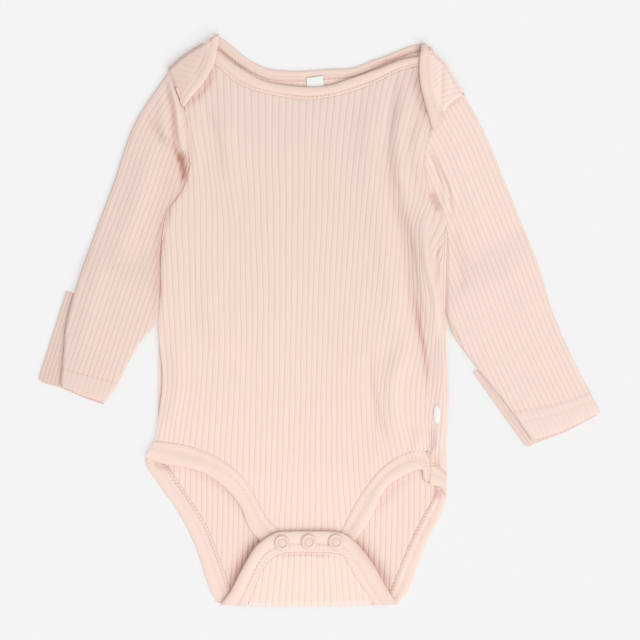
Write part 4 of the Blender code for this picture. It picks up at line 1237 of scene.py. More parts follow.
@dataclass
class CrotchFlap(RibbedCloth):
    """The end of the back, folded up over the front tab."""

    def lines(self, s: Array, level: Array) -> tuple[Array, Array]:
        """Ribs that spread a little towards the fold."""
        return between(((256, 545), (244, 612)), ((366, 545), (378, 612)), 20, s, level)

    def outline(self) -> Array:
        """Binding seam and fold."""
        return closed(FLAP_SEAM, Line(((374, 605), (309, 606.4), (247.5, 606))))

    def base(self, u: Array, v: Array) -> Array:
        """From its fold up to the snaps."""
        return Lie.crotch(u, v) + 0.6 * Lie.waves(u * 1.7, v)

    def drop(self, u: Array, v: Array) -> Array:
        """Down round the fold, and a little into the binding seam."""
        crease = Line(((240, 606.6), (309, 606.8), (380, 605.4)))
        fold = quarter_round(crease, 3.0, FOLD_DEPTH, u, v)
        seam = quarter_round(FLAP_SEAM, 1.2, 0.35, u, v)
        return np.minimum(np.maximum(fold, seam), Lie.crotch(u, v) - FOLD_LIFT)


@dataclass(kw_only=True)
class Mitten(RibbedCloth):
    """The fold-over cuff, turned back flat under the end of the sleeve."""

    edge: Line
    ends: tuple[Points, Points]     # its first and last rib
    count: int                      # rib pitches from one to the other

    def lines(self, s: Array, level: Array) -> tuple[Array, Array]:
        """Ribs spread between the mitten's end ribs."""
        return between(*self.ends, self.count, s, level)

    def outline(self) -> Array:
        """The mitten's edge, as given."""
        return np.asarray(self.edge.points, float)

    def drop(self, u: Array, v: Array) -> Array:
        """Down a little all round, as cloth is turned in there, and up a little inside."""
        ring = Line(np.vstack([self.edge.points, self.edge.points[:1]]))
        return quarter_round(ring, 1.2, 0.2, u, v, 160) - 0.15


# ------------ the sleeves

@dataclass
class SleeveLay:
    """How a pressed sleeve lies, as arrays of stations by shares across; heights in mm."""

    u: Array
    v: Array
    numbers: Array      # rib numbers
    crest: Array        # crest marks
    upper: Array        # height of the upper face
    lower: Array        # height of the lower face
    middle: Array       # height halfway between the two
    roof: Array         # inner face of the upper layer
    ground: Array       # inner face of the lower layer


@dataclass(kw_only=True)
class Sleeve(ClothPiece):
    """A sleeve pressed flat: a tube open at the armhole and at the cuff."""

    side: Side
    outer: Line
    along_body: Points          # the inner edge where it lies beside the body
    inner: Points               # the rest of it, on to the cuff
    pace: tuple[float, ...]     # share of the inner edge facing each point of the outer one
    armhole: Line
    cuff: Line
    wales: Line                 # one wale of the knit, beside which the ribs run
    hems: tuple[float, ...]     # shares of the length where the hem is sewn
    pitch_steps: float = 5.05   # pitch of its ribs, grid steps
    rows: int = 170
    columns: int = 196
    fullness: float = 0.9       # how much the middle is fuller than the edges, mm
    edge_radius: float = 2.0    # of the pressed edges, mm
    lift_span: tuple[float, float] = (0.42, 0.60)   # shares of the length over which it
                                                    # rises on the mitten under it

    def edges(self, stations: Array) -> tuple[Array, Array]:
        """Outer and inner edge points at stations along the sleeve."""
        count = len(self.outer.points)
        beside = -0.72 if self.side is Side.LEFT else 0.5
        body = Line(self.along_body).beside(beside, 60).even(60)
        free = Line(np.vstack([body[-6:-5], self.inner])).even(60)
        line = np.concatenate([body[:-6], free])
        run = run_along(line)
        outer = smooth_weights(stations, np.linspace(0, 1, count)) @ self.outer.points
        gone = smooth_read(stations, np.linspace(0, 1, count), self.pace) * run[-1]
        return outer, read_along(gone, run, line)

    def plan(self, stations: Array, share: Array) -> tuple[Array, Array]:
        """Grid positions: straight across from edge to edge, bent to the end curves."""
        outer, inner = self.edges(stations)
        at = outer[:, None] + (inner - outer)[:, None] * share[None, :, None]
        for end, line, reach in ((0, self.armhole, 0.3), (1, self.cuff, 0.12)):
            edge = line.even(300)
            bend = read_along(share, np.linspace(0, 1, 300), edge)
            bend -= edge[0] + (edge[-1] - edge[0]) * share[:, None]
            fade = np.clip(1 - np.abs(stations - end) / reach, 0, 1) ** 1.3
            at += fade[:, None, None] * bend
        return at[..., 0], at[..., 1]

    def rib_place(self, u: Array, v: Array) -> Array:
        """Ribs run beside one wale of the knit, so a rib's number is the distance to that
        wale over the pitch; the wale goes on straight past both ends."""
        line = self.wales.even(60)
        line = np.vstack([line[0] + (line[0] - line[1]) * 40, line,
                          line[-1] + (line[-1] - line[-2]) * 20])
        return Line(line).nearest(u, v, 130)[1] / self.pitch_steps + 0.35

    def layers(self, stations: Array, share: Array) -> SleeveLay:
        """The pressed tube's two faces.

        Args:
            stations: shares of the way from armhole to cuff.
            share: shares of the way from the outer to the inner edge, from 0 to 1.

        Returns:
            How the sleeve lies at every station and share.
        """
        u, v = self.plan(stations, share)
        ends = [np.hypot(u - u[:, k], v - v[:, k]) for k in (slice(0, 1), slice(-1, None))]
        side_on = 0 if self.side is Side.LEFT else 1
        edge = GRID.mm(np.minimum(*ends))
        round_in = np.sqrt(1 - (1 - np.clip(edge / self.edge_radius, 0, 1)) ** 2)
        along = stations[:, None]
        start, stop = self.lift_span
        lifted = ease((along - start) / (stop - start))
        under = MITTEN_ROOM * lifted + 0 * u
        fuller = self.fullness * (1 - np.abs(2 * share - 1) ** 3)
        inward = np.clip(np.minimum(share, 1 - share) * 9, 0, 1)
        rise = fuller + relief(u, v, SLEEVE_FOLDS[self.side]) * inward
        rise = 0.5 * (rise + np.sqrt(rise ** 2 + 0.02)) + Lie.waves(u * 1.3, v) + 0.15
        in_hem = ease((along - self.hems[0]) / 0.006)
        stitched = sum(np.exp(-((along - hem) / 0.003) ** 2) for hem in self.hems)
        numbers = self.rib_place(u, v)
        shown = 1 - 0.8 * (1 - side_on) * on_path(PUFF, 4.6, u, v)
        crest = 1 - (1 - PROFILE.crest(numbers)) * shown
        groove = RIB - PROFILE.height(numbers)
        rib = RIB - groove * (1 - 0.6 * in_hem) * shown - 0.1 * stitched
        into_seam = 0.3 * (1 - np.sqrt(1 - np.clip(1 - along / 0.012, 0, 1) ** 2))
        lip = 0.5 * np.clip((along - 0.985) / 0.015, 0, 1) ** 2
        near_cuff = lifted * np.clip(1 - GRID.mm(ends[side_on]) / 4.0, 0, 1)
        middle = under + UNDER_PLY + 0.5 * GAP - 0.75 * near_cuff
        top = under + UNDER_PLY + GAP + rise + CLOTH + rib + 0.3 * in_hem - into_seam - lip
        return SleeveLay(
            u=u, v=v, numbers=numbers, middle=middle,
            # Crest marks carry painted shade: groove colour in the grooves, deeper colour where
            # cloth faces cloth.
            crest=1 - (1 - crest) * (1 - 0.55 * in_hem) - 2 * painted_shade(u, v),
            upper=middle + (top - middle) * round_in,
            lower=middle - (middle - under - 0.5 * groove) * round_in,
            roof=top - CLOTH - RIB, ground=under + UNDER_PLY)

    def shape(self) -> bpy.types.Object:
        """Rings of an upper face, a lower face and two round edges, with a plain lining."""
        stations = np.unique(np.r_[
            np.linspace(0, 1, self.rows), 0.004, 0.01, 0.99, 0.996,
            (np.array(self.hems)[:, None] + (-.005, -.0025, 0, .0025, .005)).ravel()])
        width = np.linalg.norm(np.subtract(*self.edges(np.array((0.0, 0.3, 1.0)))), axis=1)
        near = GRID.steps(1.0) / width.mean() * np.array((0.12, 0.3, 0.6, 1.0, 1.5, 2.1))
        share = np.unique(np.r_[0, near, np.linspace(near[-1] + 0.004, 1 - near[-1] - 0.004,
                                                     self.columns), 1 - near, 1])
        wide = len(share)
        lay = self.layers(stations, share)
        run = np.cumsum(np.r_[0, np.hypot(np.diff(lay.u[:, 0]), np.diff(lay.v[:, 0]))])
        along = np.broadcast_to(GRID.mm(run)[:, None], lay.u.shape)
        back = np.r_[np.arange(wide - 2, wide - 9, -1), np.arange(wide - 10, 9, -3),
                     np.arange(8, 0, -1)]

        def skin(height: Array, columns: Array | list[int]) -> list[Array]:
            """Points, knit places and crest marks of a face at a height, in some columns."""
            return [a[:, columns] for a in (GRID.world(lay.u, lay.v, height),
                                            lay.numbers * RIB_PITCH, along, lay.crest)]

        ring = Skin(*(np.concatenate(pair, axis=1) for pair in zip(
            skin(lay.upper, np.arange(wide)), skin(lay.lower, back))))
        picks = np.unique(np.linspace(6, wide - 7, 16).round().astype(int))
        picks = np.array([back[np.argmin(np.abs(back - k))] for k in picks])
        roof = np.minimum(np.maximum(lay.roof, lay.middle + 0.05), lay.upper - 0.25)
        ground = np.minimum(lay.ground, lay.middle - 0.05)
        lining = Skin(*(np.concatenate(pair, axis=1) for pair in zip(
            skin(roof, picks), skin(ground, picks[::-1]))))
        lining.crest = np.ones(lining.crest.shape)
        facing = [int(k) for k in picks] \
            + [wide + int(np.flatnonzero(back == k)[0]) for k in picks[::-1]]
        return pipe(self.name, ring, lining, facing)

    def stitches(self) -> list["StitchRow"]:
        """The rows of stitches round the hem, on the upper face."""
        rows = []
        for hem in self.hems:
            lay = self.layers(np.array((hem - 0.001, hem)), np.linspace(0, 1, 160))
            route = np.stack([lay.u[1], lay.v[1], lay.upper[1] + 0.02], axis=1)
            rows.append(StitchRow(route[3:-3], length=1.5, space=0.6, radius=0.11))
        return rows


# ------------ bindings and sewing

NECK_SECTION = ((0.0, 0.0), (0.0, 1.2), (0.05, 1.45), (0.14, 1.55), (0.22, 1.5), (0.27, 1.2),
                (0.33, 1.5), (0.42, 1.85), (0.58, 2.1), (0.76, 2.08), (0.9, 1.8), (0.975, 1.35),
                (1.0, 0.9), (0.97, 0.25), (0.9, 0.0))
FLAP_SECTION = ((0.0, 0.0), (0.0, 1.25), (0.05, 1.5), (0.15, 1.62), (0.24, 1.6), (0.29, 1.45),
                (0.35, 1.62), (0.5, 1.95), (0.7, 2.05), (0.88, 1.85), (0.97, 1.35), (1.0, 0.9),
                (0.97, 0.25), (0.9, 0.0))
LEG_SECTION = ((0.0, 0.0), (0.0, 1.2), (0.04, 1.45), (0.1, 1.42), (0.13, 1.52), (0.22, 1.62),
               (0.31, 1.54), (0.35, 1.45), (0.40, 1.2), (0.45, 1.55), (0.56, 1.9), (0.7, 2.05),
               (0.86, 1.9), (0.96, 1.45), (1.0, 0.9), (0.97, 0.25), (0.9, 0.0))
TURNED_SECTION = ((0.0, 0.0), (0.0, 1.1), (0.06, 1.45), (0.2, 1.6), (0.38, 1.55), (0.46, 1.25),
                  (0.55, 1.55), (0.7, 1.68), (0.86, 1.6), (0.97, 1.2), (1.0, 0.8),
                  (0.97, 0.2), (0.9, 0.0))
WRAP_SECTION = ((0.0, 0.0), (0.0, 1.15), (0.04, 1.32), (0.12, 1.42), (0.35, 1.4), (0.44, 1.15),
                (0.52, 1.35), (0.68, 1.25), (0.82, 1.0), (0.93, 0.6), (0.99, 0.2), (1.0, -0.2),
                (1.0, -0.6), (0.8, -0.3), (0.4, -0.1))


def rounded_section(section: Points, count: int) -> Array:
    """A closed section with its corners eased, as count points.

    The outline, 8 mm wide at a share of 1, is walked evenly, and each point is averaged with
    its neighbours within a fortieth of the way round.
    """
    ring = np.asarray(section, float)
    ring = np.vstack([ring, ring[:1]])
    run = run_along(ring * (8.0, 1.0))
    fine = read_along(np.linspace(0, run[-1], 8 * count, endpoint=False), run, ring)
    reach = 8 * count // 40
    eased = sum(np.roll(fine, k, axis=0) for k in range(-reach, reach + 1)) / (2 * reach + 1)
    return eased[::8]


@dataclass(kw_only=True)
class Binding(ClothPiece):
    """A doubled band sewn along the edge of its panel, swept from seam to rim."""

    seam: Line
    rim: Line
    section: Points             # shares of the width, and heights in mm over the lie
    lie: Height
    count: int = 200            # stations along the band
    pucker: float = 0.05        # height of the small gathers at the stitches, mm
    gather_pitch: float = 2.7   # from one gather to the next, mm
    rows_of_stitches: tuple[float, ...] = ()
    overlocked: tuple[float, ...] = ()  # shares of the width where a zigzag runs
    swing: float = 0.8          # how far the zigzag swings to each side, mm
    turned: float = 0.0015      # cloth that goes round the band's two edges, m
    around: int = 44            # points round its section

    def make(self) -> bpy.types.Object:
        """Work out the band's cut from its own width and length, then build it."""
        u, v = np.vstack([self.seam.even(90), self.rim.even(90)[::-1]]).T
        seen = 0.5 * abs(np.sum(u * np.roll(v, -1) - v * np.roll(u, -1))) * GRID.step ** 2
        long = 0.5 * (self.seam.length() + self.rim.length())
        self.area = seen + self.turned * long
        self.flat = (max(self.area / long, LEAST_SIDE), max(long, LEAST_SIDE))
        return super().make()

    def at(self, share: Array | float, count: int) -> tuple[Array, Array]:
        """Grid positions at shares of the way from seam to rim, in count stations."""
        a, b = (line.even(count)[:, None] for line in (self.seam, self.rim))
        place = a + (b - a) * np.atleast_1d(share)[None, :, None]
        return place[..., 0], place[..., 1]

    def top(self, share: float) -> float:
        """Height in mm of the band's upper face over its base, at a share of its width."""
        rise = [p for p in self.section[1:] if p[1] >= 0.85]
        return float(np.interp(share, [p[0] for p in rise], [p[1] for p in rise]))

    def shape(self) -> bpy.types.Object:
        """The section carried along the band, with small gathers beside the stitches."""
        ring = rounded_section(self.section, self.around)
        u, v = self.at(ring[:, 0], self.count)
        run = np.linspace(0, self.seam.length() * 1000, self.count)[:, None]
        upper = np.clip(ring[:, 1] - 0.8, 0, 0.4) / 0.4
        width = GRID.mm(np.linalg.norm(self.rim.even(self.count) - self.seam.even(self.count),
                                       axis=1))[:, None]
        rib = (1 - self.ribs(ring[:, 0], width)) * upper
        turns = run * 2 * math.pi / self.gather_pitch + 3 * np.sin(run / 11)
        gathers = self.pucker * np.sin(turns) * upper * np.exp(-(ring[:, 0] / 0.35) ** 2)
        slack = 0.08 * np.sin(run / 7.3 + 4 * ring[:, 0]) * upper
        points = GRID.world(u, v, self.lie(u, v) + ring[:, 1] + gathers + slack - RIB * rib)
        wide = np.cumsum(np.linalg.norm(np.diff(points[self.count // 2], axis=0,
                                                prepend=points[self.count // 2][:1]), axis=1))
        knit = np.stack(np.broadcast_arrays(run, wide * 1000), axis=-1)
        # Painted shade: crest marks drop along the welt's groove, in rib grooves and where cloth
        # faces cloth.
        deep = 1 - 0.5 * np.exp(-((ring[:, 0] - self.groove()) / 0.035) ** 2) * upper
        return mesh_piece(self.name, points, tube(self.count, len(ring)), knit,
                          deep - rib - 2 * painted_shade(u, v))

    def ribs(self, share: Array, width: Array) -> Array:
        """Crest marks across the band, from the share and its width in mm: it is plain."""
        return 1.0 + 0.0 * (share + width)

    def groove(self) -> float:
        """Share of the width where the welt meets the band: its lowest inner point."""
        low = [p for p in self.section if 0.2 < p[0] < 0.5]
        return min(low, key=lambda p: p[1])[0]

    def stitches(self) -> list["StitchRow"]:
        """The rows of stitches on this band."""
        rows = []
        for share in self.rows_of_stitches + self.overlocked:
            u, v = self.at(share, 240)
            lift = self.lie(u, v)[:, 0] + self.top(share) + 0.02
            route = np.stack([u[:, 0], v[:, 0], lift], axis=1)
            rows.append(StitchRow(route, length=1.0, space=0.3, radius=0.17, swing=self.swing)
                        if share in self.overlocked else StitchRow(route))
        return rows


@dataclass
class StitchRow:
    """A row of small raised stitches along a route of grid positions and heights."""

    route: Array
    length: float = 2.0         # of one stitch, mm
    space: float = 0.7          # between two, mm
    radius: float = 0.17        # of the thread, mm
    swing: float = 0.0          # how far a zigzag swings to each side, mm

    def mesh(self) -> tuple[Array, Faces]:
        """Points and faces of every stitch: six-sided spindles of five rings.

        A ring's radius is the thread's times a sine along the stitch, and the stitch dips
        into the cloth at both ends.
        """
        world = GRID.world(self.route[:, 0], self.route[:, 1], self.route[:, 2]) * 1000
        run = run_along(world)
        pitch = self.length + self.space
        count = max(2, int(run[-1] // pitch))
        starts = (np.arange(count) + 0.5 * self.space / pitch) * run[-1] / count
        place = starts[:, None] + self.length * np.array((0, 0.12, 0.5, 0.88, 1))
        at = read_along(place, run, world)
        ahead = at[:, -1] - at[:, 0]
        ahead /= np.linalg.norm(ahead, axis=1)[:, None] + 1e-9
        beside = np.stack([-ahead[:, 1], ahead[:, 0], 0 * ahead[:, 0]], axis=1)
        if self.swing:
            turn = np.where(np.arange(count) % 2, 1.0, -1.0)[:, None] * np.linspace(-1, 1, 5)
            at = at + beside[:, None] * (turn * self.swing)[..., None]
        bow = np.array((-0.1, 0.06, 0.12, 0.06, -0.1))
        size = self.radius * np.array((0.3, 0.85, 1.0, 0.85, 0.3))
        side = beside[:, None, None] * (np.cos(SIX_WAYS)[None, :, None] * size[:, None, None])
        lift = np.sin(SIX_WAYS)[None, :] * size[:, None] + bow[:, None]
        points = at[:, :, None] + side
        points[..., 2] += lift
        first = 5 * 6 * np.arange(count)[:, None]
        faces = [face for one in tube(5, 6) for face in (np.array(one) + first).tolist()]
        return points.reshape(-1, 3) / 1000, faces


@dataclass(frozen=True)
class SeamRoute:
    """Where an overlocked seam edge lies."""

    line: Line
    base: Height
    lift: float                 # of its middle over the base, mm
    half: float                 # half its width, mm
    space: float = 0.7          # from one ring of the cord to the next, mm
    stitch: float = 1.6         # length of a stitch, mm

    def mesh(self) -> tuple[Array, Faces]:
        """Points and faces of a six-sided cord, thicker at each stitch.

        Its radius is the half width times 1 + 0.05 sin, once in a stitch.
        """
        count = max(8, int(self.line.length() * 1000 / self.space))
        u, v = self.line.even(count).T
        centre = GRID.world(u, v, self.base(u, v) + self.lift)
        run = np.gradient(centre, axis=0)
        run /= np.linalg.norm(run, axis=1)[:, None]
        beside = np.stack([-run[:, 1], run[:, 0], 0 * u], axis=1)
        turns = np.arange(count) * self.space / self.stitch * 2 * math.pi
        size = self.half * (1 + 0.05 * np.sin(turns)) / 1000
        side = beside[:, None] * (np.cos(SIX_WAYS) * size[:, None])[..., None]
        points = centre[:, None] + side
        points[..., 2] += np.sin(SIX_WAYS) * size[:, None]
        return points.reshape(-1, 3), tube(count, 6)


@dataclass(kw_only=True)
class Sewing(Piece):
    """All the rows of stitches or cords of one kind, as one piece."""

    rows: Sequence[StitchRow | SeamRoute]

    def shape(self) -> bpy.types.Object:
        """Every row's mesh, joined."""
        points, faces, count = [], [], 0
        for row in self.rows:
            p, f = row.mesh()
            points.append(p)
            faces += [[k + count for k in face] for face in f]
            count += len(p)
        return mesh_piece(self.name, np.concatenate(points), faces, sharp=THREAD_ANGLE)


@dataclass(kw_only=True)
class SideWrap(Binding):
    """The back turned round the right edge and brought forward to the side seam."""

    around: int = 104
    rib_pitch: float = 3.3      # mm
    first_rib: float = 0.4      # rib number at the outer edge

    def ribs(self, share: Array, width: Array) -> Array:
        """Ribs beside the outer edge: a rib's number is the distance to it over the pitch."""
        return PROFILE.crest((1 - share) * width / self.rib_pitch + self.first_rib)


# ------------ snaps and labels

@dataclass(kw_only=True)
class SnapPart(Piece):
    """A part of a ring snap: a section turned round the snap's axis."""

    spot: tuple[float, float]
    section: Points             # distances from the axis and heights over the lift, mm
    lift: float = SNAP_SEAT
    around: int = 64            # steps round the axis

    def faces(self) -> Faces:
        """The part's faces; its points are numbered round the axis, place by place."""
        raise NotImplementedError

    def shape(self) -> bpy.types.Object:
        """The section turned round the snap's axis."""
        out, up = np.asarray(self.section).T[..., None]
        angle = np.linspace(0, 2 * math.pi, self.around, endpoint=False)
        x, y, z = GRID.world(*self.spot, self.lift)
        points = np.stack([x + out * np.cos(angle) / 1000, y + out * np.sin(angle) / 1000,
                           z + up / 1000 + 0 * angle], axis=-1)
        return mesh_piece(self.name, points, self.faces(), sharp=RIM_ANGLE)


@dataclass(kw_only=True)
class SnapRing(SnapPart):
    """An open ring snap: a rounded enamelled ring with a bevelled inner rim."""

    section: Points = ((2.75, 0.0), (2.7, 0.3), (2.8, 0.52), (3.0, 0.68), (3.3, 0.78),
                       (3.8, 0.84), (4.2, 0.82), (4.6, 0.68), (4.85, 0.46), (4.98, 0.2),
                       (5.0, 0.0))

    def faces(self) -> Faces:
        """Bands from place to place, the last place back to the first."""
        n = np.arange(len(self.section) * self.around).reshape(-1, self.around)
        return quads(np.vstack([n, n[:1]]), True)


@dataclass(kw_only=True)
class SnapCap(SnapPart):
    """The low cap of a snap's post inside its ring."""

    section: Points = ((0.05, 0.5), (1.2, 0.5), (2.0, 0.47), (2.5, 0.42), (2.66, 0.3),
                       (2.68, 0.0))
    around: int = 40

    def faces(self) -> Faces:
        """Bands from place to place, closed above and below."""
        return tube(len(self.section), self.around)


@dataclass
class NeckLabel(ClothPiece):
    """The bare satin label, sewn in at its top and curling a little at its end."""

    corners: Points = ((306.6, 78.6), (322.7, 76.0), (325.0, 99.0), (308.8, 101.0))
    width: float = 10.5         # mm
    length: float = 15.0        # mm
    lift: float = 1.9           # of its lower face, mm
    ply: float = 0.32           # its thickness, mm

    def shape(self) -> bpy.types.Object:
        """A thin wall over the four corners, with woven edges slightly thicker."""
        a, b, c, d = (np.array(p, float) for p in self.corners)
        across, down = np.linspace(0, 1, 25)[None, :, None], np.linspace(0, 1, 37)[:, None, None]
        at = (a + (b - a) * across) * (1 - down) + (d + (c - d) * across) * down
        u, v = at[..., 0], at[..., 1]
        x, y = across[..., 0], down[..., 0]
        bend = 0.1 * np.sin(math.pi * x) + 0.12 * np.sin(3 * y + 0.5) + 0.05
        edge = 0.05 * np.exp(-(np.minimum(x, 1 - x) / 0.04) ** 2)
        low = self.lift + bend + 0 * u
        skins = [Skin(GRID.world(u, v, z), x * self.width + 0 * u, y * self.length + 0 * u,
                      1 + 0 * u) for z in (low + self.ply + edge, low - edge)]
        return wall(self.name, *skins, list(range(25)))


@dataclass
class SideLabel(Piece):
    """The bare oval label on the side seam: a small dome with a flat rim."""

    spot: tuple[float, float] = (436.6, 414.0)
    half: tuple[float, float] = (2.1, 6.2)      # half its width and length, mm
    seat: float = 0.25          # its rim's lower edge over the cloth, mm
    rim: float = 0.25           # height of its rim, mm
    dome: float = 0.35          # how far its middle is above the rim, mm

    def shape(self) -> bpy.types.Object:
        """Rings of an oval, lower towards the rim as one less the fourth power."""
        turn = np.linspace(0, 2 * math.pi, 48, endpoint=False)[None, :]
        out = np.array((0.04, 0.35, 0.65, 0.85, 0.95, 1.0, 1.0))[:, None]
        u = self.spot[0] + GRID.steps(self.half[0]) * out * np.cos(turn)
        v = self.spot[1] + GRID.steps(self.half[1]) * out * np.sin(turn)
        cloth = Lie.front(u, v) + CLOTH + RIB + self.seat
        rise = self.dome * (1 - out ** 4) + np.array((self.rim,) * 6 + (0.0,))[:, None]
        return mesh_piece(self.name, GRID.world(u, v, cloth + rise), tube(*u.shape),
                          sharp=RIM_ANGLE)


# ------------ studio

@dataclass(frozen=True)
class Studio:
    """Plain pale floor, soft light and a camera straight above."""

    distance: float = 3.0       # from the camera to the floor, m
    picture: float = 0.4192     # width of the floor in the picture, m
    centre: tuple[float, float] = (320.0, 320.0)    # middle of the picture, on the grid
    sensor: float = 36.0        # width of the camera's sensor, mm
    floor_half: float = 3.0     # half a side of the floor, m
    floor_drop: float = 0.0003  # how far the floor lies below the garment, m
    sky: float = 0.62           # strength of the light from all round
    key: float = 0.40           # share of full light from the lamp
    tilt: float = 38.0          # of the lamp from straight down, degrees
    heading: float = 40.0       # of the lamp round the vertical, degrees
    spread: float = 50.0        # angle over which the lamp's light comes, degrees

    def build(self) -> None:
        """Set the floor, the lights, the world and the camera."""
        scene = bpy.context.scene
        scene.view_settings.view_transform = "Standard"
        half, z = self.floor_half, -self.floor_drop
        floor = mesh_piece("floor", np.array([(-half, -half, z), (half, -half, z),
                                              (half, half, z), (-half, half, z)]),
                           [[0, 1, 2, 3]])
        floor.data.materials.append(PAPER.material())
        world = bpy.data.worlds.new("studio")
        world.use_nodes = True
        shader = world.node_tree.nodes["Background"]
        shader.inputs["Color"].default_value = (1, 1, 1, 1)
        shader.inputs["Strength"].default_value = self.sky
        scene.world = world
        self.hang_lamp(scene)
        self.aim_camera(scene)

    def hang_lamp(self, scene: bpy.types.Scene) -> None:
        """A broad distant lamp that gives a level surface a share of full light."""
        light = bpy.data.lights.new("key", "SUN")
        light.energy = self.key * math.pi / math.cos(math.radians(self.tilt))
        light.angle = math.radians(self.spread)
        lamp = bpy.data.objects.new("key", light)
        lamp.rotation_euler = (math.radians(self.tilt), 0, math.radians(self.heading))
        scene.collection.objects.link(lamp)

    def aim_camera(self, scene: bpy.types.Scene) -> None:
        """A long lens straight above the middle of the picture."""
        lens = bpy.data.cameras.new("camera")
        lens.sensor_width = self.sensor
        lens.lens = self.sensor * self.distance / self.picture
        lens.clip_end = 20.0
        camera = bpy.data.objects.new("camera", lens)
        x, y, _ = GRID.world(*self.centre, 0.0)
        camera.location = (x, y, self.distance)
        scene.collection.objects.link(camera)
        scene.camera = camera


# ------------ the garment

def panels() -> list[ClothPiece]:
    """The ribbed panels of the body."""
    shoulders = [
        ShoulderFlap(f"shoulder_{side.value}", f"shoulder_flap_{side.value}", knit, Slot.KNIT,
                     flat=(0.03, 0.04), area=0.0007, held=Held.FOLDED,
                     rests_on=("front_panel",), ribs=ribs, rows=50, tip=0.035, side=side)
        # The left flap takes the knit in painted shade, the right one the knit in painted light.
        for side, knit, ribs in ((Side.LEFT, SHADE_KNIT, (0, 13)),
                                 (Side.RIGHT, LIT_KNIT, (-1, 16)))]
    return [
        BackPanel("back", "back_panel", INSIDE_KNIT, Slot.INSIDE, flat=(0.19, 0.36), area=0.056,
                  ribs=(-26, 27), span=(42, 610), rows=90, underside=True),
        FrontPanel("front", "front_panel", KNIT, Slot.KNIT, flat=(0.185, 0.32), area=0.046,
                   rests_on=("back_panel",), ribs=(-25, 30), span=(55, 555), rows=150),
        *shoulders,
        CrotchFlap("flap_crotch", "crotch_flap", KNIT, Slot.KNIT, flat=(0.08, 0.036),
                   area=0.0023, held=Held.FOLDED, rests_on=("front_panel",), ribs=(0, 20),
                   rows=44, tip=0.03),
    ]


def sleeves() -> list[ClothPiece]:
    """Both sleeves and the mittens under their ends.

    Each sleeve's wale follows its outer edge and leaves it where the cuff begins.
    """
    left_outer = ((168, 71.8), (134, 125), (114, 182), (99, 222), (88, 252), (78.2, 280))
    right_outer = ((465, 96.4), (485, 134), (502, 175), (517, 212), (528, 239), (540.5, 272))
    left = dict(
        outer=Line(left_outer + ((66.8, 322), (63.8, 351), (60.6, 385.5))),
        wales=Line(left_outer + ((61, 332), (43.5, 385))),
        along_body=LEFT_SIDE.points[:5],
        inner=((154, 327), (144, 338), (129, 362), (117, 386), (105.6, 402.6)),
        pace=(0, 0.10, 0.205, 0.315, 0.44, 0.55, 0.66, 0.82, 1), armhole=LEFT_ARMHOLE,
        cuff=Line(((60.6, 385.5), (82, 395), (105.6, 402.6))), hems=(0.937,))
    right = dict(
        outer=Line(right_outer + ((553, 314), (574, 362), (600, 412))),
        wales=Line(right_outer + ((556, 314), (578, 362), (603, 412))),
        along_body=RIGHT_EDGE.points[:3],
        inner=((451.6, 333), (463, 350), (480.5, 372.6), (502, 399), (532, 440.4)),
        pace=(0, 0.05, 0.125, 0.206, 0.287, 0.368, 0.46, 0.645, 1), armhole=RIGHT_ARMHOLE,
        cuff=Line(((600, 412), (566.5, 429), (532.5, 440.5))), hems=(0.953, 0.971))
    left_cuff = Line(((64.8, 291), (54.2, 326.8), (46.6, 350), (38.2, 376), (40, 382),
                      (60, 387.4), (82, 397), (103.6, 404.6), (116, 372), (124, 338),
                      (112, 300), (72.5, 292.8)))
    right_cuff = Line(((472.8, 374), (492, 401), (509.6, 426), (521.4, 443.8), (529, 447),
                       (534, 443.6), (566.5, 431.6), (597, 415.5), (583, 388), (560, 352),
                       (520, 340), (478, 369)))
    made: list[ClothPiece] = []
    # Mittens and sleeves take copies of the knit in painted shade or painted light.
    for side, plan, edge, ends, knits in (
            (Side.LEFT, left, left_cuff, (((67.9, 287), (38.2, 380)), ((132, 290), (104, 412))),
             (SHADE_KNIT, HALF_SHADE_KNIT)),
            (Side.RIGHT, right, right_cuff,
             (((464.6, 361), (529, 451.6)), ((562, 330), (606, 418))), (HALF_SHADE_KNIT, LIT_KNIT))):
        made.append(Mitten(f"cuff_turned_{side.value}", f"mitten_{side.value}", knits[0],
                           Slot.KNIT, flat=(0.05, 0.07), area=0.0028, held=Held.FOLDED,
                           ribs=(0, 18), count=18, rows=50, tip=0.03, edge=edge, ends=ends))
        made.append(Sleeve(f"arm_{side.value}", f"sleeve_{side.value}", knits[1], Slot.KNIT,
                           flat=(0.12, 0.22), area=0.022, side=side, **plan))
    return made


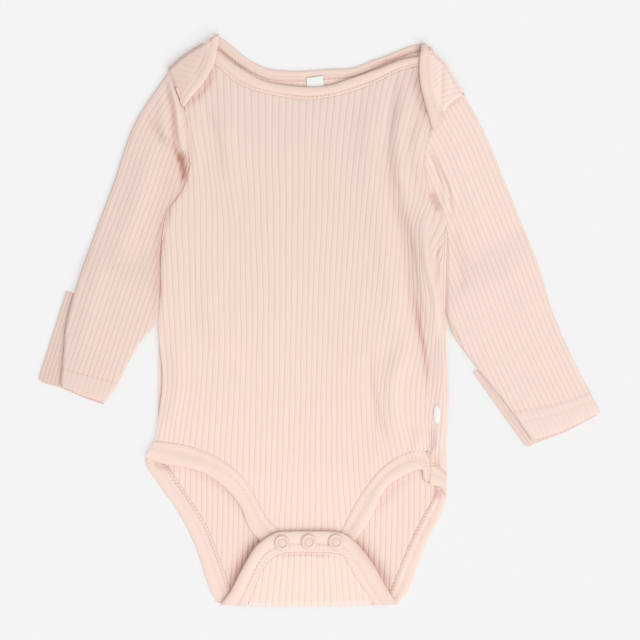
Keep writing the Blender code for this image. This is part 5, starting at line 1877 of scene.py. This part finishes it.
def bindings() -> list[Binding]:
    """Every bound edge, from a table of its name, seam, rim, section, lie and the rest.

    A band's node has its name, with the word binding in it.
    """
    sewn = dict(rows_of_stitches=(0.1, 0.33))
    short = dict(count=80, pucker=0.02)
    zigzag = dict(overlocked=(0.16,), swing=1.2)
    side_seam = Line(((430.9, 464.2), (438, 467.2), (446, 475.6)))
    side_rim = Line(((430.2, 485), (437.6, 486.4), (446.6, 497)))
    table = (
        ("neck_band_front", FRONT_NECK_SEAM, FRONT_NECK_EDGE, NECK_SECTION, Lie.front,
         dict(rows_of_stitches=(0.12, 0.215))),
        ("neck_band_back", BACK_NECK_SEAM, BACK_NECK_EDGE, TURNED_SECTION, Lie.floor,
         dict(rows_of_stitches=(0.46,), overlocked=(0.14,))),
        ("flap_band_left", LEFT_FLAP_SEAM, LEFT_FLAP_EDGE, FLAP_SECTION,
         Lie.turned_down(LEFT_FLAP_END), short),
        ("flap_band_right", RIGHT_FLAP_SEAM, RIGHT_FLAP_EDGE, FLAP_SECTION,
         Lie.turned_down(RIGHT_FLAP_END), short),
        ("leg_band_front_left", LEFT_LEG_SEAM, LEFT_LEG_EDGE, LEG_SECTION, Lie.front, sewn),
        ("leg_band_front_right", RIGHT_LEG_HOOK, RIGHT_LEG_EDGE, LEG_SECTION, Lie.front, sewn),
        ("leg_band_side", side_seam, side_rim, LEG_SECTION, Lie.front,
         dict(count=40, **sewn)),
        ("leg_band_back_left", LEFT_BACK_LEG_SEAM, LEFT_BACK_LEG_EDGE, TURNED_SECTION,
         Lie.floor, zigzag),
        ("leg_band_back_right", RIGHT_BACK_LEG_SEAM, RIGHT_BACK_LEG_EDGE, TURNED_SECTION,
         Lie.floor, zigzag),
        ("crotch_band", FLAP_SEAM, FLAP_RIM, LEG_SECTION, Lie.crotch,
         dict(count=240, **sewn)))
    return [Binding(name, name.replace("band", "binding"), BAND_KNIT, Slot.BINDING,
                    held=Held.STRETCHED, seam=seam, rim=rim, section=section, lie=lie, **rest)
            for name, seam, rim, section, lie, rest in table]


def small_parts() -> list[Piece]:
    """Snaps and labels."""
    rings: list[Piece] = [
        SnapRing(f"ring_{k}", f"snap_ring_{k}", ENAMEL, Slot.SNAP, spot=spot)
        for k, spot in enumerate(SNAP_SPOTS, 1)]
    caps: list[Piece] = [SnapCap(f"cap_{k}", "", ENAMEL, Slot.SNAP, spot=spot)
                         for k, spot in enumerate(SNAP_SPOTS, 1)]
    return rings + caps + [
        NeckLabel("label_neck", "neck_label", SATIN, Slot.LABEL, flat=(0.0108, 0.015)),
        SideLabel("label_side", "side_label", SATIN, Slot.LABEL)]


def dress_sockets() -> None:
    """Give the kept socket discs the snaps' enamel."""
    for number in range(1, len(SNAP_SPOTS) + 1):
        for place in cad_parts[f"snap_socket_{number}"].material_slots:
            place.material = ENAMEL.material()


def seam_edges() -> Sewing:
    """The overlocked seam edges that show in the valleys beside sleeves, flaps and strip."""
    sleeve = Line(((446.5, 219), (446.6, 262), (445.8, 315)))
    hook = Line(((426.8, 451.6), (429.4, 454.2), (430.8, 460), (430.9, 472), (430.4, 483.6)))
    flap_corner = Line(((441, 118), (436.5, 124.4), (432, 129.4), (429, 135)))
    table = (
        (LEFT_ARMHOLE.beside(-0.25), Lie.front, 0.95, 0.7),
        (Line(LEFT_SIDE.points[:4]).beside(-0.36), Lie.floor, 2.1, 0.7),
        (Line(LEFT_SIDE.points[3:5]).beside(-0.36), Lie.floor, 1.4, 0.5),
        (Line(RIGHT_ARMHOLE.points[3:]).beside(0.3), Lie.front, 0.85, 0.6),
        (flap_corner, Lie.front, 0.7, 0.9),
        (Line(((426, 112), (430, 124), (432, 132))), Lie.front, 1.1, 0.8),
        (Line(RIGHT_ARMHOLE.points[:5]).beside(0.1), Lie.floor, 3.4, 0.85),
        (LEFT_FLAP_ARMHOLE.beside(-0.2), Lie.floor, 3.5, 0.85),
        (Line(((176.6, 88), (178.8, 92.6), (181.4, 98.6))), Lie.flap, 0.2, 1.1),
        (Line(((439, 106), (441, 111), (442.6, 118))), Lie.flap, 0.3, 1.3),
        (Line(((430.8, 50.4), (431.8, 53), (434, 58))), Lie.flap, -0.3, 1.2),
        (LEFT_FLAP_SEAM, Lie.flap, 0.9, 0.5),
        (RIGHT_FLAP_SEAM, Lie.flap, 0.9, 0.5),
        (RIGHT_SEAM, Lie.front, 0.8, 0.45),
        (sleeve.beside(0.25), Lie.floor, 2.3, 0.5),
        (hook, Lie.front, 0.7, 1.35),
        (Line(((430.4, 462.4), (438, 466), (446, 474.4))), Lie.front, 1.1, 0.8),
        (Line(((435.4, 484), (434.2, 492), (431, 500.6))), Lie.floor, 0.7, 0.6),
        (Line(((367.6, 595), (371.6, 600.6), (374.4, 604.6))), Lie.crotch, 0.2, 0.9))
    return Sewing("seam_edges", "", OVERLOCK, Slot.KNIT, rows=[SeamRoute(*row) for row in table])


def side_wrap() -> Binding:
    """The strip of the back that shows beside the side seam."""
    seam = [p for p in RIGHT_SEAM.beside(-0.03).points if p[1] > 225]
    return SideWrap("side_strip", "side_wrap", KNIT, Slot.KNIT, held=Held.FOLDED,
                    seam=Line(seam + [(430.6, 461)]),
                    rim=Line([(447, 226)] + RIGHT_EDGE.points[1:].tolist()),
                    section=WRAP_SECTION, lie=Lie.side, count=160, pucker=0.0)


def main() -> None:
    """Build every piece of the garment in order, then the studio round it."""
    logging.basicConfig(level=logging.INFO, format="%(name)s %(message)s")
    arms = sleeves()
    for piece in panels() + arms:
        piece.make()
    bands = bindings()
    for band in bands + [side_wrap()]:
        band.make()
    sewn = bands + [arm for arm in arms if isinstance(arm, Sleeve)]
    rows = [row for piece in sewn for row in piece.stitches()]
    Sewing("stitches", "", THREAD, Slot.BINDING, rows=[r for r in rows if not r.swing]).make()
    Sewing("overlock", "", DEEP_THREAD, Slot.BINDING, rows=[r for r in rows if r.swing]).make()
    seam_edges().make()
    for piece in small_parts():
        piece.make()
    dress_sockets()
    Studio().build()


if __name__ == "__main__":
    main()
